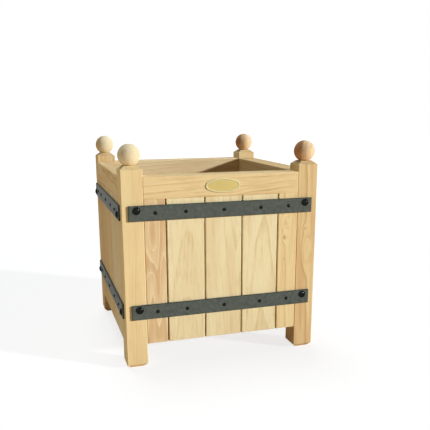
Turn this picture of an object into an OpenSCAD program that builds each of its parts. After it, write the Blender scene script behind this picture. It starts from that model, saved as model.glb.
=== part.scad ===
// Square planter box of planed softwood with a ball on each corner post.
// Four framed sides of upright boards are clasped by flat iron straps, bolted through the posts.
// The origin is on the ground at the middle of the planter, +Z is up and the front faces -Y.

/* [Overall] */
// Width across the corner posts, the same from side to side and from front to back
overall_w = 540; // [490:1:700]
// Height of a corner post from the ground to its flat top
post_h = 538; // [420:1:800]

/* [Corner posts] */
// Side of the square post
post_w = 57; // [52:1:66]
// Flat that eases each upright edge of a post
post_ease = 2.2; // [0.6:0.2:3.6]
// Width of the bevel around the top of a post
top_bevel_w = 12; // [6:0.5:15]
// Height of the bevel around the top of a post
top_bevel_h = 9; // [4:0.5:14]
// Width of the bevel around the foot of a post
foot_bevel_w = 10; // [2:0.5:14]
// Height of the bevel around the foot of a post
foot_bevel_h = 10; // [2:0.5:14]

/* [Ball finials] */
// Diameter of a ball
ball_d = 57; // [45:1:70]
// Depth of the flat cut under a ball, on which it sits
ball_seat_cut = 3; // [2:0.5:6]
// Diameter of the double-ended screw that holds a ball
finial_screw_d = 8; // [6:0.5:10]
// Length of that screw inside the ball
finial_screw_up = 28; // [18:1:34]
// Length of that screw inside the post
finial_screw_down = 34; // [20:1:45]

/* [Top rails] */
// Height of a top rail, which is as thick as the posts
top_rail_h = 57; // [40:1:75]
// Distance from the top of a post down to the top of the rails
top_rail_drop = 27.5; // [15:0.5:45]
// Thickness of the tenon at each end of a top rail
top_tenon_t = 19; // [12:0.5:22]
// Shoulder above and below each rail tenon
tenon_shoulder = 5; // [3:0.5:10]
// Wood left between two tenons that meet in one post
tenon_wall = 1; // [0.8:0.2:4]
// Flat that eases each long edge of a rail
rail_ease = 1.6; // [0.6:0.2:3]

/* [Bottom rails] */
// Height of a bottom rail, hidden behind the boards
bottom_rail_h = 57; // [45:1:62]
// Distance from the lower end of the boards up to the bottom rails
bottom_rail_lift = 9; // [2:1:15]
// Thickness of the tenon at each end of a bottom rail
bottom_tenon_t = 12; // [8:0.5:16]

/* [Boards] */
// Thickness of a board
board_t = 20; // [16:0.5:22]
// Pitch of the three wide boards in the middle of each side
board_w = 103.7; // [90:0.1:120]
// Height of the boards' lower ends above the ground
board_lift = 66; // [40:1:90]
// Gap between neighbouring boards
board_gap = 0.5; // [0.3:0.1:1.5]
// Bevel along each outer edge of a board
board_bevel = 3; // [1:0.1:3.5]
// Bevel across the upper end of a board
board_top_bevel = 1.2; // [0.5:0.1:2.5]
// Thickness of the tongue that joins a board to its neighbour, the post and the rail
tongue_t = 6; // [4:0.5:7]
// Length of that tongue
tongue_l = 5; // [3:0.5:7]

/* [Iron straps] */
// Height of a flat strap
strap_w = 40; // [34:1:46]
// Thickness of a strap
strap_t = 5; // [3:0.5:7]
// Distance from the outer face of the planter to the end of a strap
strap_inset = 17; // [10:1:22]
// Flat that eases the outer edges of a strap
strap_ease = 0.6; // [0.3:0.1:1.2]
// Height of the lower strap's centre line above the lower ends of the boards
lower_strap_rise = 90.3; // [88:0.1:120]
// Distance of the upper strap's centre line under the top rails
upper_strap_drop = 34.1; // [26:0.1:60]

/* [Strap bolts] */
// Diameter of a bolt
bolt_d = 8; // [6:0.5:9]
// Length of a bolt under its head
bolt_l = 75; // [74:1:85]
// Diameter of the domed bolt head
bolt_head_d = 20; // [16:0.5:22]
// Height of the domed bolt head
bolt_head_h = 5; // [3:0.5:7]
// Rim under the dome of a bolt head
bolt_head_rim = 0.8; // [0.4:0.1:1.5]
// Distance of a bolt from the outer side of its post
bolt_inset = 37.5; // [30:0.5:39]
// How far the front and rear bolts lie above the centre line of a strap
bolt_raise = 7.5; // [5.5:0.5:8.5]
// How far the side bolts lie under the centre line of a strap
bolt_lower = 6; // [5:0.5:8.5]
// Diameter of a bolt's washer
washer_d = 20; // [16:0.5:22]
// Thickness of a bolt's washer
washer_t = 1.6; // [1:0.1:2.5]
// Width of a bolt's nut across its flats
nut_w = 13; // [12:0.5:15]
// Thickness of a bolt's nut
nut_t = 6.5; // [5:0.5:8]

/* [Screws] */
// Diameter of the screws through the straps
strap_screw_d = 4.5; // [3.5:0.5:6]
// Diameter of the domed head of a strap screw
strap_screw_head_d = 9.5; // [8:0.5:12]
// Height of the domed head of a strap screw
strap_screw_head_h = 2.8; // [2:0.1:4]
// Length of a strap screw inside the board
strap_screw_bite = 13; // [10:0.5:15]
// Diameter of the countersunk wood screws
wood_screw_d = 4; // [3:0.5:5]
// Diameter of a wood screw's countersunk head
wood_screw_head_d = 8; // [7:0.5:9]
// Length of a panel screw inside the board
panel_screw_bite = 12; // [8:0.5:14]
// Distance of the panel screws under the top of the bottom rails
panel_screw_drop = 12; // [8:0.5:15]

/* [Name plate] */
// Width of the blank oval plate
plate_w = 94; // [70:1:120]
// Height of the plate
plate_h = 38; // [34:1:44]
// Thickness of the plate at its rim
plate_t = 2.5; // [1.5:0.1:4]
// Radius of the plate's round ends
plate_end_r = 11; // [8:0.5:14]
// Width of the raised rim
plate_rim_w = 3; // [2:0.1:5]
// Depth of the field inside the rim
plate_field_depth = 0.9; // [0.4:0.1:1.2]
// Distance of the plate to the right of the rail's middle
plate_shift = -2; // [-20:0.5:20]

/* [Floor] */
// Gap between the loose floor and the frame around it
floor_gap = 3; // [2:0.5:6]
// Width of a floor slat
slat_w = 54; // [40:1:58]
// Thickness of a floor slat
slat_t = 15; // [14:1:20]
// Distance of the floor's underside below the top of the bottom rails
floor_drop = 27; // [27:1:30]
// Width of the two battens under the slats
batten_w = 40; // [30:1:50]
// Thickness of those battens
batten_t = 15; // [14:1:20]
// Distance from the ends of the slats to the middle of a batten
batten_in = 70; // [50:1:110]
// Distance from the ends of a batten to the edge of the floor
batten_inset = 10; // [5:1:20]
// Width of the two bearers that carry the floor
bearer_w = 20; // [18:1:26]
// Height of those bearers
bearer_h = 25; // [18:1:28]
// Gap at each end of a bearer
bearer_end_gap = 2; // [1:1:10]
// Length of a bearer screw inside the rail
bearer_screw_bite = 25; // [15:1:30]
// Distance from the ends of a bearer to its outer two screws
bearer_screw_in = 41; // [20:1:100]
// Length of a floor screw inside the slat
floor_screw_bite = 10; // [6:0.5:12]
// Distance of the loose floor above its bearers
floor_rest = 0.3; // [0.2:0.1:0.6]

/* [Fits] */
// Clearance on each face of a tenon or a tongue
joint_fit = 0.2; // [0.1:0.05:0.5]
// Clearance around a bolt or a screw in its hole
hole_fit = 0.25; // [0.1:0.05:0.5]
// Clearance between a nut and its bolt
nut_fit = 0.1; // [0.05:0.05:0.2]

/* [Hidden] */
$fn = 64;
CUT = 1;          // how far a cut runs on past the face that it opens
SLAT_COUNT = 7;   // slats in the floor
HEX = 6;          // sides of a nut
BEARER_SCREWS = 3; // screws in each bearer

SIDES = ["front", "right", "rear", "left"];
CORNERS = ["front_left", "front_right", "rear_right", "rear_left"];
LEVELS = ["lower", "upper"];
BOARDS = [1, 2, 3, 4, 5];
BEARER_SIDES = ["left", "right"];

face_y = -overall_w / 2;                        // outer plane of the front
inner_half = overall_w / 2 - post_w;            // from the middle to the inner faces of the posts
top_rail_z = post_h - top_rail_drop - top_rail_h;
top_tenon_l = post_w / 2 - top_tenon_t / 2 - tenon_wall;
bottom_rail_t = post_w - board_t;
bottom_rail_z = board_lift + bottom_rail_lift;
bottom_rail_top = bottom_rail_z + bottom_rail_h;
bottom_tenon_l = bottom_rail_t / 2 - bottom_tenon_t / 2 - tenon_wall;
board_edges = [-inner_half, -1.5 * board_w, -board_w / 2, board_w / 2, 1.5 * board_w, inner_half];
strap_z = [board_lift + lower_strap_rise, top_rail_z - upper_strap_drop];
strap_l = overall_w - 2 * strap_inset;
bolt_x = overall_w / 2 - bolt_inset;
bolt_from_strap = [bolt_raise, -bolt_lower, bolt_raise, -bolt_lower];
panel_screw_z = bottom_rail_top - panel_screw_drop;
floor_half = inner_half - floor_gap;
bearer_top = bottom_rail_top - floor_drop;
bearer_l = 2 * (inner_half - bearer_end_gap);
batten_x = floor_half - batten_in;
floor_z = bearer_top + floor_rest;              // underside of the slats
slat_pitch = (2 * floor_half - slat_w) / (SLAT_COUNT - 1);

WOOD = [0.86, 0.72, 0.49];
INNER_WOOD = [0.76, 0.62, 0.42];
IRON = [0.33, 0.35, 0.32];
BLACK = [0.08, 0.08, 0.08];
BRASS = [0.83, 0.75, 0.47];
ZINC = [0.70, 0.71, 0.72];

function board_name(side, i) = str(SIDES[side], "_board_", i);
function strap_name(side, level) = str(SIDES[side], "_", LEVELS[level], "_strap");
function board_centre(i) = (board_edges[i - 1] + board_edges[i]) / 2;
function bolt_z(side, level) = strap_z[level] + bolt_from_strap[side];

// ---- shared shapes ----

// Turns what is drawn for the front round to another side
module on_side(side) {
    rotate([0, 0, 90 * side])
        children();
}

// A bar along X, its section centred on the axis, with its four long edges eased
module eased_bar(length, depth, height, ease) {
    d = depth / 2;
    h = height / 2;
    e = ease;
    rotate([90, 0, 90])
        linear_extrude(length, center = true)
            polygon([
                [-d + e, -h], [d - e, -h], [d, -h + e], [d, h - e],
                [d - e, h], [-d + e, h], [-d, h - e], [-d, -h + e]
            ]);
}

// A round pin along +Y, starting at the origin
module pin_y(d, length) {
    rotate([-90, 0, 0])
        cylinder(d = d, h = length);
}

// A domed head that stands up from Z = 0 on a thin round rim
module domed_head(d, height, rim) {
    dome_h = height - rim;
    dome_r = (pow(d / 2, 2) + pow(dome_h, 2)) / (2 * dome_h);
    cylinder(d = d, h = rim);
    intersection() {
        translate([0, 0, height - dome_r])
            sphere(r = dome_r);
        cylinder(d = d, h = height);
    }
}

// A wood screw along +Y, with its flat countersunk head in the plane Y = 0
module wood_screw(length) {
    head_h = (wood_screw_head_d - wood_screw_d) / 2;
    pin_y(wood_screw_d, length);
    rotate([-90, 0, 0])
        cylinder(d1 = wood_screw_head_d, d2 = wood_screw_d, h = head_h);
}

// The hole for a wood screw, wider than the screw by the clearance all round
module wood_screw_hole(length) {
    d = wood_screw_d + 2 * hole_fit;
    head_d = wood_screw_head_d + 2 * hole_fit;
    translate([0, -CUT, 0])
        pin_y(d, length + CUT + hole_fit);
    rotate([-90, 0, 0])
        cylinder(d1 = head_d, d2 = d, h = (head_d - d) / 2);
}

// An oval of four arcs: round ends joined by two long flat curves
module oval(width, height, end_r) {
    end_x = width / 2 - end_r;
    rise = height / 2 - end_r;
    side_y = (pow(end_x, 2) - pow(rise, 2)) / (2 * rise);
    side_r = height / 2 + side_y;
    meet_x = end_x * side_r / (side_r - end_r);
    for (way = [-1, 1])
        translate([way * end_x, 0])
            circle(r = end_r);
    intersection() {
        translate([0, side_y])
            circle(r = side_r, $fn = 200);
        translate([0, -side_y])
            circle(r = side_r, $fn = 200);
        square([2 * meet_x, height], center = true);
    }
}

// ---- joints of one side, drawn for the front; end is -1 at its left and 1 at its right ----

// The top rail's tenon, or its mortise where grow is the clearance
module top_tenon(end, grow = 0) {
    l = top_tenon_l + grow;
    translate([end * (inner_half + (l - CUT) / 2), face_y + post_w / 2, top_rail_z + top_rail_h / 2])
        cube([l + CUT, top_tenon_t + 2 * grow, top_rail_h - 2 * tenon_shoulder + 2 * grow], center = true);
}

// The bottom rail's tenon, or its mortise where grow is the clearance
module bottom_tenon(end, grow = 0) {
    l = bottom_tenon_l + grow;
    y = face_y + board_t + bottom_rail_t / 2;
    translate([end * (inner_half + (l - CUT) / 2), y, bottom_rail_z + bottom_rail_h / 2])
        cube([l + CUT, bottom_tenon_t + 2 * grow, bottom_rail_h - 2 * tenon_shoulder + 2 * grow], center = true);
}

// The groove in a post that takes the tongue of the outermost board
module panel_groove(end) {
    l = tongue_l + joint_fit;
    z = board_lift - joint_fit;
    translate([end * (inner_half + (l - CUT) / 2), face_y + board_t / 2, (z + top_rail_z) / 2])
        cube([l + CUT, tongue_t + 2 * joint_fit, top_rail_z - z], center = true);
}

// The bores through a post for its two bolts
module bolt_bores(side, end) {
    for (level = [0:1])
        translate([end * bolt_x, face_y - CUT, bolt_z(side, level)])
            pin_y(bolt_d + 2 * hole_fit, post_w + 2 * CUT);
}

// Everything that one side cuts into the post at one of its ends
module side_cuts(side, end) {
    on_side(side) {
        top_tenon(end, joint_fit);
        bottom_tenon(end, joint_fit);
        panel_groove(end);
        bolt_bores(side, end);
    }
}

// ---- corner posts and balls ----

// The outline of a post seen from one side, with its foot and top bevels
module post_outline() {
    h = post_w / 2;
    polygon([
        [-h + foot_bevel_w, 0], [h - foot_bevel_w, 0], [h, foot_bevel_h], [h, post_h - top_bevel_h],
        [h - top_bevel_w, post_h], [-h + top_bevel_w, post_h], [-h, post_h - top_bevel_h], [-h, foot_bevel_h]
    ]);
}

// A post standing on the origin, before its joints are cut
module post_blank() {
    intersection() {
        translate([0, 0, post_h / 2])
            rotate([0, 90, 0])
                eased_bar(post_h, post_w, post_w, post_ease);
        rotate([90, 0, 0])
            linear_extrude(post_w + CUT, center = true)
                post_outline();
        rotate([90, 0, 90])
            linear_extrude(post_w + CUT, center = true)
                post_outline();
    }
}

// Puts what is drawn on the origin at the centre of a corner post
module at_corner(corner) {
    on_side(corner)
        translate([face_y + post_w / 2, face_y + post_w / 2, 0])
            children();
}

module post(corner) {
    color(WOOD)
        difference() {
            at_corner(corner)
                post_blank();
            side_cuts(corner, -1);
            side_cuts((corner + 3) % 4, 1);
            at_corner(corner)
                finial_screw(hole_fit);
        }
}

// The screw between a post and its ball, or its hole where grow is the clearance
module finial_screw(grow = 0) {
    translate([0, 0, post_h - finial_screw_down - grow])
        cylinder(d = finial_screw_d + 2 * grow, h = finial_screw_down + finial_screw_up + 2 * grow);
}

module finial_screws() {
    color(ZINC)
        for (corner = [0:3])
            at_corner(corner)
                finial_screw();
}

module ball(corner) {
    color(WOOD)
        at_corner(corner)
            difference() {
                translate([0, 0, post_h + ball_d / 2 - ball_seat_cut])
                    sphere(d = ball_d);
                translate([-ball_d, -ball_d, post_h - 2 * ball_seat_cut])
                    cube([2 * ball_d, 2 * ball_d, 2 * ball_seat_cut]);
                finial_screw(hole_fit);
            }
}

// ---- rails ----

module top_rail(side) {
    groove_h = tongue_l + joint_fit;
    color(WOOD)
        on_side(side)
            difference() {
                union() {
                    translate([0, face_y + post_w / 2, top_rail_z + top_rail_h / 2])
                        eased_bar(2 * inner_half, post_w, top_rail_h, rail_ease);
                    top_tenon(-1);
                    top_tenon(1);
                }
                translate([0, face_y + board_t / 2, top_rail_z + (groove_h - CUT) / 2])
                    cube([2 * inner_half + CUT, tongue_t + 2 * joint_fit, groove_h + CUT], center = true);
            }
}

module bottom_rail(side) {
    y = face_y + board_t + bottom_rail_t / 2;
    has_bearer = side % 2 == 1;
    color(INNER_WOOD)
        on_side(side)
            difference() {
                union() {
                    translate([0, y, bottom_rail_z + bottom_rail_h / 2])
                        eased_bar(2 * inner_half, bottom_rail_t, bottom_rail_h, rail_ease);
                    bottom_tenon(-1);
                    bottom_tenon(1);
                }
                for (i = BOARDS)
                    at_panel_screw(i)
                        wood_screw_hole(bottom_rail_t + panel_screw_bite);
                if (has_bearer)
                    at_bearer_screws()
                        wood_screw_hole(bearer_w + bearer_screw_bite);
            }
}

// ---- boards ----

// The section of a board: an outer face at Y = 0 with bevelled edges, and a tongue on its right.
// Its left edge has a groove, or a second tongue where it meets the post.
module board_section(width, tongue_left) {
    v = board_bevel;
    tongue_y = (board_t - tongue_t) / 2;
    difference() {
        union() {
            polygon([[v, 0], [width - v, 0], [width, v], [width, board_t], [0, board_t], [0, v]]);
            translate([width - CUT, tongue_y])
                square([tongue_l + CUT, tongue_t]);
            if (tongue_left)
                translate([-tongue_l, tongue_y])
                    square([tongue_l + CUT, tongue_t]);
        }
        if (!tongue_left)
            translate([-CUT, tongue_y - joint_fit])
                square([tongue_l + joint_fit + CUT, tongue_t + 2 * joint_fit]);
    }
}

module board(side, i) {
    left = board_edges[i - 1] + board_gap / 2;
    width = board_edges[i] - board_edges[i - 1] - board_gap;
    height = top_rail_z - board_lift;
    color(WOOD)
        on_side(side)
            difference() {
                translate([left, face_y, board_lift])
                    union() {
                        linear_extrude(height)
                            board_section(width, i == 1);
                        translate([0, (board_t - tongue_t) / 2, height])
                            cube([width, tongue_t, tongue_l]);
                    }
                board_top_cut(left, width);
                for (level = [0:1])
                    translate([board_centre(i), face_y - CUT, strap_z[level]])
                        pin_y(strap_screw_d + 2 * hole_fit, strap_screw_bite + CUT + hole_fit);
                at_panel_screw(i)
                    wood_screw_hole(bottom_rail_t + panel_screw_bite);
            }
}

// The bevel across the upper end of a board's outer face
module board_top_cut(left, width) {
    b = board_top_bevel;
    translate([left - CUT - tongue_l, face_y, top_rail_z])
        rotate([90, 0, 90])
            linear_extrude(width + 2 * (tongue_l + CUT))
                polygon([[-CUT, CUT], [-CUT, -b - CUT], [b + CUT, CUT]]);
}

// ---- iron straps and their bolts ----

// A flat strap with eased outer edges and ends, centred on the front's outer plane
module strap_bar() {
    e = strap_ease;
    l = strap_l / 2;
    w = strap_w / 2;
    intersection() {
        rotate([90, 0, 90])
            linear_extrude(strap_l, center = true)
                polygon([[0, -w], [0, w], [e - strap_t, w], [-strap_t, w - e], [-strap_t, e - w], [e - strap_t, -w]]);
        linear_extrude(strap_w, center = true)
            polygon([[-l, 0], [l, 0], [l, e - strap_t], [l - e, -strap_t], [e - l, -strap_t], [-l, e - strap_t]]);
    }
}

module strap(side, level) {
    neck = bolt_d + 2 * hole_fit;
    color(IRON)
        on_side(side)
            difference() {
                translate([0, face_y, strap_z[level]])
                    strap_bar();
                for (end = [-1, 1])
                    translate([end * bolt_x, face_y, bolt_z(side, level)])
                        cube([neck, 2 * (strap_t + CUT), neck], center = true);
                for (i = BOARDS)
                    translate([board_centre(i), face_y - strap_t - CUT, strap_z[level]])
                        pin_y(strap_screw_d + 2 * hole_fit, strap_t + 2 * CUT);
            }
}

// Draws its children at each of the sixteen bolts, on the outer face of the strap
module at_bolts() {
    for (side = [0:3])
        on_side(side)
            for (level = [0:1])
                for (end = [-1, 1])
                    translate([end * bolt_x, face_y - strap_t, bolt_z(side, level)])
                        children();
}

module strap_bolts() {
    color(BLACK)
        at_bolts() {
            rotate([90, 0, 0])
                domed_head(bolt_head_d, bolt_head_h, bolt_head_rim);
            translate([0, strap_t / 2, 0])
                cube([bolt_d, strap_t, bolt_d], center = true);
            pin_y(bolt_d, bolt_l);
        }
}

module bolt_washers() {
    color(ZINC)
        at_bolts()
            translate([0, strap_t + post_w, 0])
                difference() {
                    pin_y(washer_d, washer_t);
                    translate([0, -CUT, 0])
                        pin_y(bolt_d + 2 * hole_fit, washer_t + 2 * CUT);
                }
}

module bolt_nuts() {
    color(ZINC)
        at_bolts()
            translate([0, strap_t + post_w + washer_t, 0])
                rotate([-90, 0, 0])
                    difference() {
                        cylinder(d = nut_w / cos(180 / HEX), h = nut_t, $fn = HEX);
                        translate([0, 0, -CUT])
                            cylinder(d = bolt_d + 2 * nut_fit, h = nut_t + 2 * CUT);
                    }
}

module strap_screws() {
    color(BLACK)
        for (side = [0:3])
            on_side(side)
                for (level = [0:1])
                    for (i = BOARDS)
                        translate([board_centre(i), face_y - strap_t, strap_z[level]]) {
                            rotate([90, 0, 0])
                                domed_head(strap_screw_head_d, strap_screw_head_h, bolt_head_rim / 2);
                            pin_y(strap_screw_d, strap_t + strap_screw_bite);
                        }
}

// ---- screws inside the frame ----

// Draws its children on the inner face of the bottom rail, pointing out into board i
module at_panel_screw(i) {
    translate([board_centre(i), face_y + post_w, panel_screw_z])
        rotate([0, 0, 180])
            children();
}

module panel_screws() {
    color(ZINC)
        for (side = [0:3])
            on_side(side)
                for (i = BOARDS)
                    at_panel_screw(i)
                        wood_screw(bottom_rail_t + panel_screw_bite);
}

// Draws its children along a bearer's inner face, pointing out into the rail
module at_bearer_screws() {
    span = bearer_l - 2 * bearer_screw_in;
    for (n = [0:BEARER_SCREWS - 1])
        translate([(n / (BEARER_SCREWS - 1) - 0.5) * span, face_y + post_w + bearer_w, bearer_top - bearer_h / 2])
            rotate([0, 0, 180])
                children();
}

module bearer_screws() {
    color(ZINC)
        for (side = [1, 3])
            on_side(side)
                at_bearer_screws()
                    wood_screw(bearer_w + bearer_screw_bite);
}

// ---- floor ----

module floor_bearer(side) {
    color(INNER_WOOD)
        on_side(side)
            difference() {
                translate([0, face_y + post_w + bearer_w / 2, bearer_top - bearer_h / 2])
                    eased_bar(bearer_l, bearer_w, bearer_h, rail_ease);
                at_bearer_screws()
                    wood_screw_hole(bearer_w + bearer_screw_bite);
            }
}

// Draws its children under the floor where a batten is screwed to each slat, pointing up
module at_floor_screws(x) {
    for (n = [0:SLAT_COUNT - 1])
        translate([x, slat_y(n), floor_z - batten_t])
            rotate([90, 0, 0])
                children();
}

function slat_y(n) = -floor_half + slat_w / 2 + n * slat_pitch;

module floor_slats() {
    color(INNER_WOOD)
        difference() {
            for (n = [0:SLAT_COUNT - 1])
                translate([0, slat_y(n), floor_z + slat_t / 2])
                    eased_bar(2 * floor_half, slat_w, slat_t, rail_ease);
            for (x = [-batten_x, batten_x])
                at_floor_screws(x)
                    wood_screw_hole(batten_t + floor_screw_bite);
        }
}

module floor_batten(x) {
    color(INNER_WOOD)
        difference() {
            translate([x, 0, floor_z - batten_t / 2])
                rotate([0, 0, 90])
                    eased_bar(2 * (floor_half - batten_inset), batten_w, batten_t, rail_ease);
            at_floor_screws(x)
                wood_screw_hole(batten_t + floor_screw_bite);
        }
}

module floor_screws() {
    color(ZINC)
        for (x = [-batten_x, batten_x])
            at_floor_screws(x)
                wood_screw(batten_t + floor_screw_bite);
}

// ---- name plate ----

module name_plate() {
    color(BRASS)
        translate([plate_shift, face_y, top_rail_z + top_rail_h / 2])
            rotate([90, 0, 0])
                difference() {
                    linear_extrude(plate_t)
                        oval(plate_w, plate_h, plate_end_r);
                    translate([0, 0, plate_t - plate_field_depth])
                        linear_extrude(plate_field_depth + CUT)
                            oval(plate_w - 2 * plate_rim_w, plate_h - 2 * plate_rim_w, plate_end_r - plate_rim_w);
                }
}

// ---- what is drawn ----

for (corner = [0:3]) {
    post(corner);
    ball(corner);
}
for (side = [0:3]) {
    top_rail(side);
    bottom_rail(side);
    for (i = BOARDS)
        board(side, i);
    for (level = [0:1])
        strap(side, level);
}
floor_bearer(3);  // left_floor_bearer
floor_bearer(1);  // right_floor_bearer
floor_batten(-batten_x);  // left_floor_batten
floor_batten(batten_x);  // right_floor_batten
finial_screws();
strap_bolts();
bolt_washers();
bolt_nuts();
strap_screws();
panel_screws();
bearer_screws();
name_plate();
floor_slats();
floor_screws();
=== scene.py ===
"""Looks of a square planter box of planed softwood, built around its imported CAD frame.

Each sub-assembly is a class that takes its sizes from the frame, builds its pieces as surfaces
and dresses them. Lengths are metres in the frame's own axes: the origin is on the ground in the
middle of the planter, +Z is up and the front faces -Y.
"""
import logging
import math
from collections.abc import Iterable, Sequence
from dataclasses import dataclass
from enum import Enum

import bpy
import numpy as np
from mathutils import Matrix, Vector


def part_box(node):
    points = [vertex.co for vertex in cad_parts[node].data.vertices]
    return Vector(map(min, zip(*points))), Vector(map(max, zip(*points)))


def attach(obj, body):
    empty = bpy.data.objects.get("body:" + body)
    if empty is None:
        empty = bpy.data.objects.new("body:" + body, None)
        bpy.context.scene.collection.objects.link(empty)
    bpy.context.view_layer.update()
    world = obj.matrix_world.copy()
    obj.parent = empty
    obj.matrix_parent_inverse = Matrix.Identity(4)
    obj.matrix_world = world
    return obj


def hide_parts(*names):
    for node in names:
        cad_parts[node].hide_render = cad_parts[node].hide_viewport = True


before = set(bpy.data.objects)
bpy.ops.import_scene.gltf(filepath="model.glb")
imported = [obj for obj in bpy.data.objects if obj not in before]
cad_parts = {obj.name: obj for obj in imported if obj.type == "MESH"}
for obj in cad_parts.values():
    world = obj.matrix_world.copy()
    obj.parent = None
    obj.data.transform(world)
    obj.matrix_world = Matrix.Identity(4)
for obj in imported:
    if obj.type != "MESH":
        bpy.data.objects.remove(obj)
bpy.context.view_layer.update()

LOG = logging.getLogger("planter")
MM = 0.001
QUARTER = math.pi / 2
TINY = 1e-18  # keeps a length of 0 out of a division
CREASE = math.radians(38)  # faces that meet more sharply than this keep a sharp edge
EDGE_POINTS = 6  # points across each eased edge of a bar
LEAST_EASE = 0.3  # share of a bar's ease that is left where its ends are drawn in
UP = Vector((0.0, 0.0, 1.0))

Colour = tuple[float, float, float, float]
Bytes = tuple[int, int, int]
Socket = bpy.types.NodeSocket
Value = float | Sequence[float] | Socket


# ---- surfaces ----


class End(Enum):
    """How a tube of rings is closed."""

    FLAT = "one flat face on each end ring"
    POLE = "triangles from each end ring to a point"
    RING = "the last ring joins the first"


@dataclass
class Shell:
    """Closed surfaces as arrays.

    Attributes:
        points: The points, one row each, in metres.
        faces: Arrays of point indices, one array for each number of corners.
        edge: At each point, 1 on an eased edge, 0 on a flat and -1 down in a joint, where shade is painted.
    """

    points: np.ndarray
    faces: list[np.ndarray]
    edge: np.ndarray

    def moved(self, turn: np.ndarray, shift: Sequence[float] = (0.0, 0.0, 0.0)) -> "Shell":
        """The same surfaces, turned by a 3 by 3 matrix and then shifted."""
        return Shell(self.points @ np.asarray(turn).T + np.asarray(shift), self.faces, self.edge)


def joined(shells: Iterable[Shell]) -> Shell:
    """Puts several shells into one, each keeping its own closed surface.

    Args:
        shells: The shells to put together.

    Returns:
        One shell whose face indices are shifted by the number of points before them.
    """
    points, faces, edges, count = [], [], [], 0
    for shell in shells:
        points.append(shell.points)
        edges.append(shell.edge)
        faces += [face + count for face in shell.faces]
        count += len(shell.points)
    return Shell(np.concatenate(points), faces, np.concatenate(edges))


def tube(rings: np.ndarray, edge: np.ndarray, end: End, poles: np.ndarray | None = None) -> Shell:
    """Closes a grid of rings into a shell.

    Point (i, j) is ring i, place j. Each face joins (i, j), (i, j+1), (i+1, j+1) and (i+1, j), so
    rings that run anticlockwise about the direction in which they follow each other face outwards.

    Args:
        rings: Points of shape (rings, places, 3).
        edge: The wear at each point, of shape (rings, places).
        end: How the first and last rings are closed.
        poles: The two end points, for End.POLE.

    Returns:
        The closed shell.
    """
    rows, places = rings.shape[:2]
    index = np.arange(rows * places).reshape(rows, places)
    ahead = np.roll(index, -1, axis=1)
    points, wear = rings.reshape(-1, 3), edge.reshape(-1)
    if end is End.RING:
        above, above_ahead = np.roll(index, -1, axis=0), np.roll(ahead, -1, axis=0)
        quads = np.stack([index, ahead, above_ahead, above], axis=-1).reshape(-1, 4)
        return Shell(points, [quads], wear)
    quads = np.stack([index[:-1], ahead[:-1], ahead[1:], index[1:]], axis=-1).reshape(-1, 4)
    if end is End.FLAT:
        return Shell(points, [quads, np.stack([index[0][::-1], index[-1]])], wear)
    low = np.stack([np.full(places, rows * places), ahead[0], index[0]], axis=-1)
    high = np.stack([np.full(places, rows * places + 1), index[-1], ahead[-1]], axis=-1)
    return Shell(np.concatenate([points, poles]), [quads, low, high], np.append(wear, [0.0, 0.0]))


def rounded_path(
    corners: Sequence[Sequence[float]], radii: float | Sequence[float], closed: bool = True, steps: int = 4
) -> tuple[np.ndarray, np.ndarray]:
    """Rounds the corners of a flat path with arcs.

    At a corner where the path turns by an angle t, an arc of radius r touches both legs at
    r tan(t/2) from the corner. Its points swing from the first touching point to the second about
    the arc's centre: (sin((1-s)t) a + sin(s t) b) / sin t, where a and b lead to those two points.

    Args:
        corners: The path's corners.
        radii: The radius at each corner, above 0, or one for all.
        closed: Whether the last corner leads back to the first. An open path keeps its end points.
        steps: Pieces in each arc.

    Returns:
        The points, and at each 1 in the middle of an arc that bulges on a left turn, else 0.
    """
    p = np.asarray(corners, float)
    r = np.broadcast_to(np.asarray(radii, float), len(p))[:, None]
    back, ahead = p - np.roll(p, 1, axis=0), np.roll(p, -1, axis=0) - p
    u = back / np.linalg.norm(back, axis=1, keepdims=True)
    v = ahead / np.linalg.norm(ahead, axis=1, keepdims=True)
    turn = np.arctan2(u[:, 0] * v[:, 1] - u[:, 1] * v[:, 0], (u * v).sum(axis=1))[:, None]
    leg = r * np.tan(np.abs(turn) / 2)
    inward = np.stack([-u[:, 1], u[:, 0]], axis=1) * np.sign(turn)
    centre = p - u * leg + inward * r
    a, b = p - u * leg - centre, p + v * leg - centre
    s = np.linspace(0.0, 1.0, steps + 1)[None, :, None]
    t = np.abs(turn)[:, :, None]
    arcs = centre[:, None] + (np.sin((1 - s) * t) * a[:, None] + np.sin(s * t) * b[:, None]) / np.sin(t)
    wear = np.sin(np.pi * s[..., 0]) * (turn > 0)
    if closed:
        return arcs.reshape(-1, 2), wear.reshape(-1)
    inner, inner_wear = arcs[1:-1].reshape(-1, 2), wear[1:-1].reshape(-1)
    return np.concatenate([p[:1], inner, p[-1:]]), np.concatenate([[0.0], inner_wear, [0.0]])


@dataclass(frozen=True)
class BarEnd:
    """The shape of a bar's end.

    Attributes:
        rounding: Radius that softens each edge of the end.
        bevel_in: How far the bevel around the end reaches in from the sides, or 0 for none.
        bevel_along: How far that bevel reaches along the bar.
    """

    rounding: float
    bevel_in: float = 0.0
    bevel_along: float = 0.0

    def profile(self) -> tuple[np.ndarray, np.ndarray]:
        """Runs from the end's flat face to the full section.

        Returns:
            Pairs of distance from the end and inset from the sides, and the wear at each pair.
        """
        reach = 4 * self.rounding
        corners = [(0.0, self.bevel_in), (self.bevel_along, 0.0)] if self.bevel_in else [(0.0, 0.0)]
        path = [(0.0, self.bevel_in + reach), *corners, (self.bevel_along + reach, 0.0)]
        points, wear = rounded_path(path, self.rounding, closed=False)
        return points[1:-1], wear[1:-1]


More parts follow.
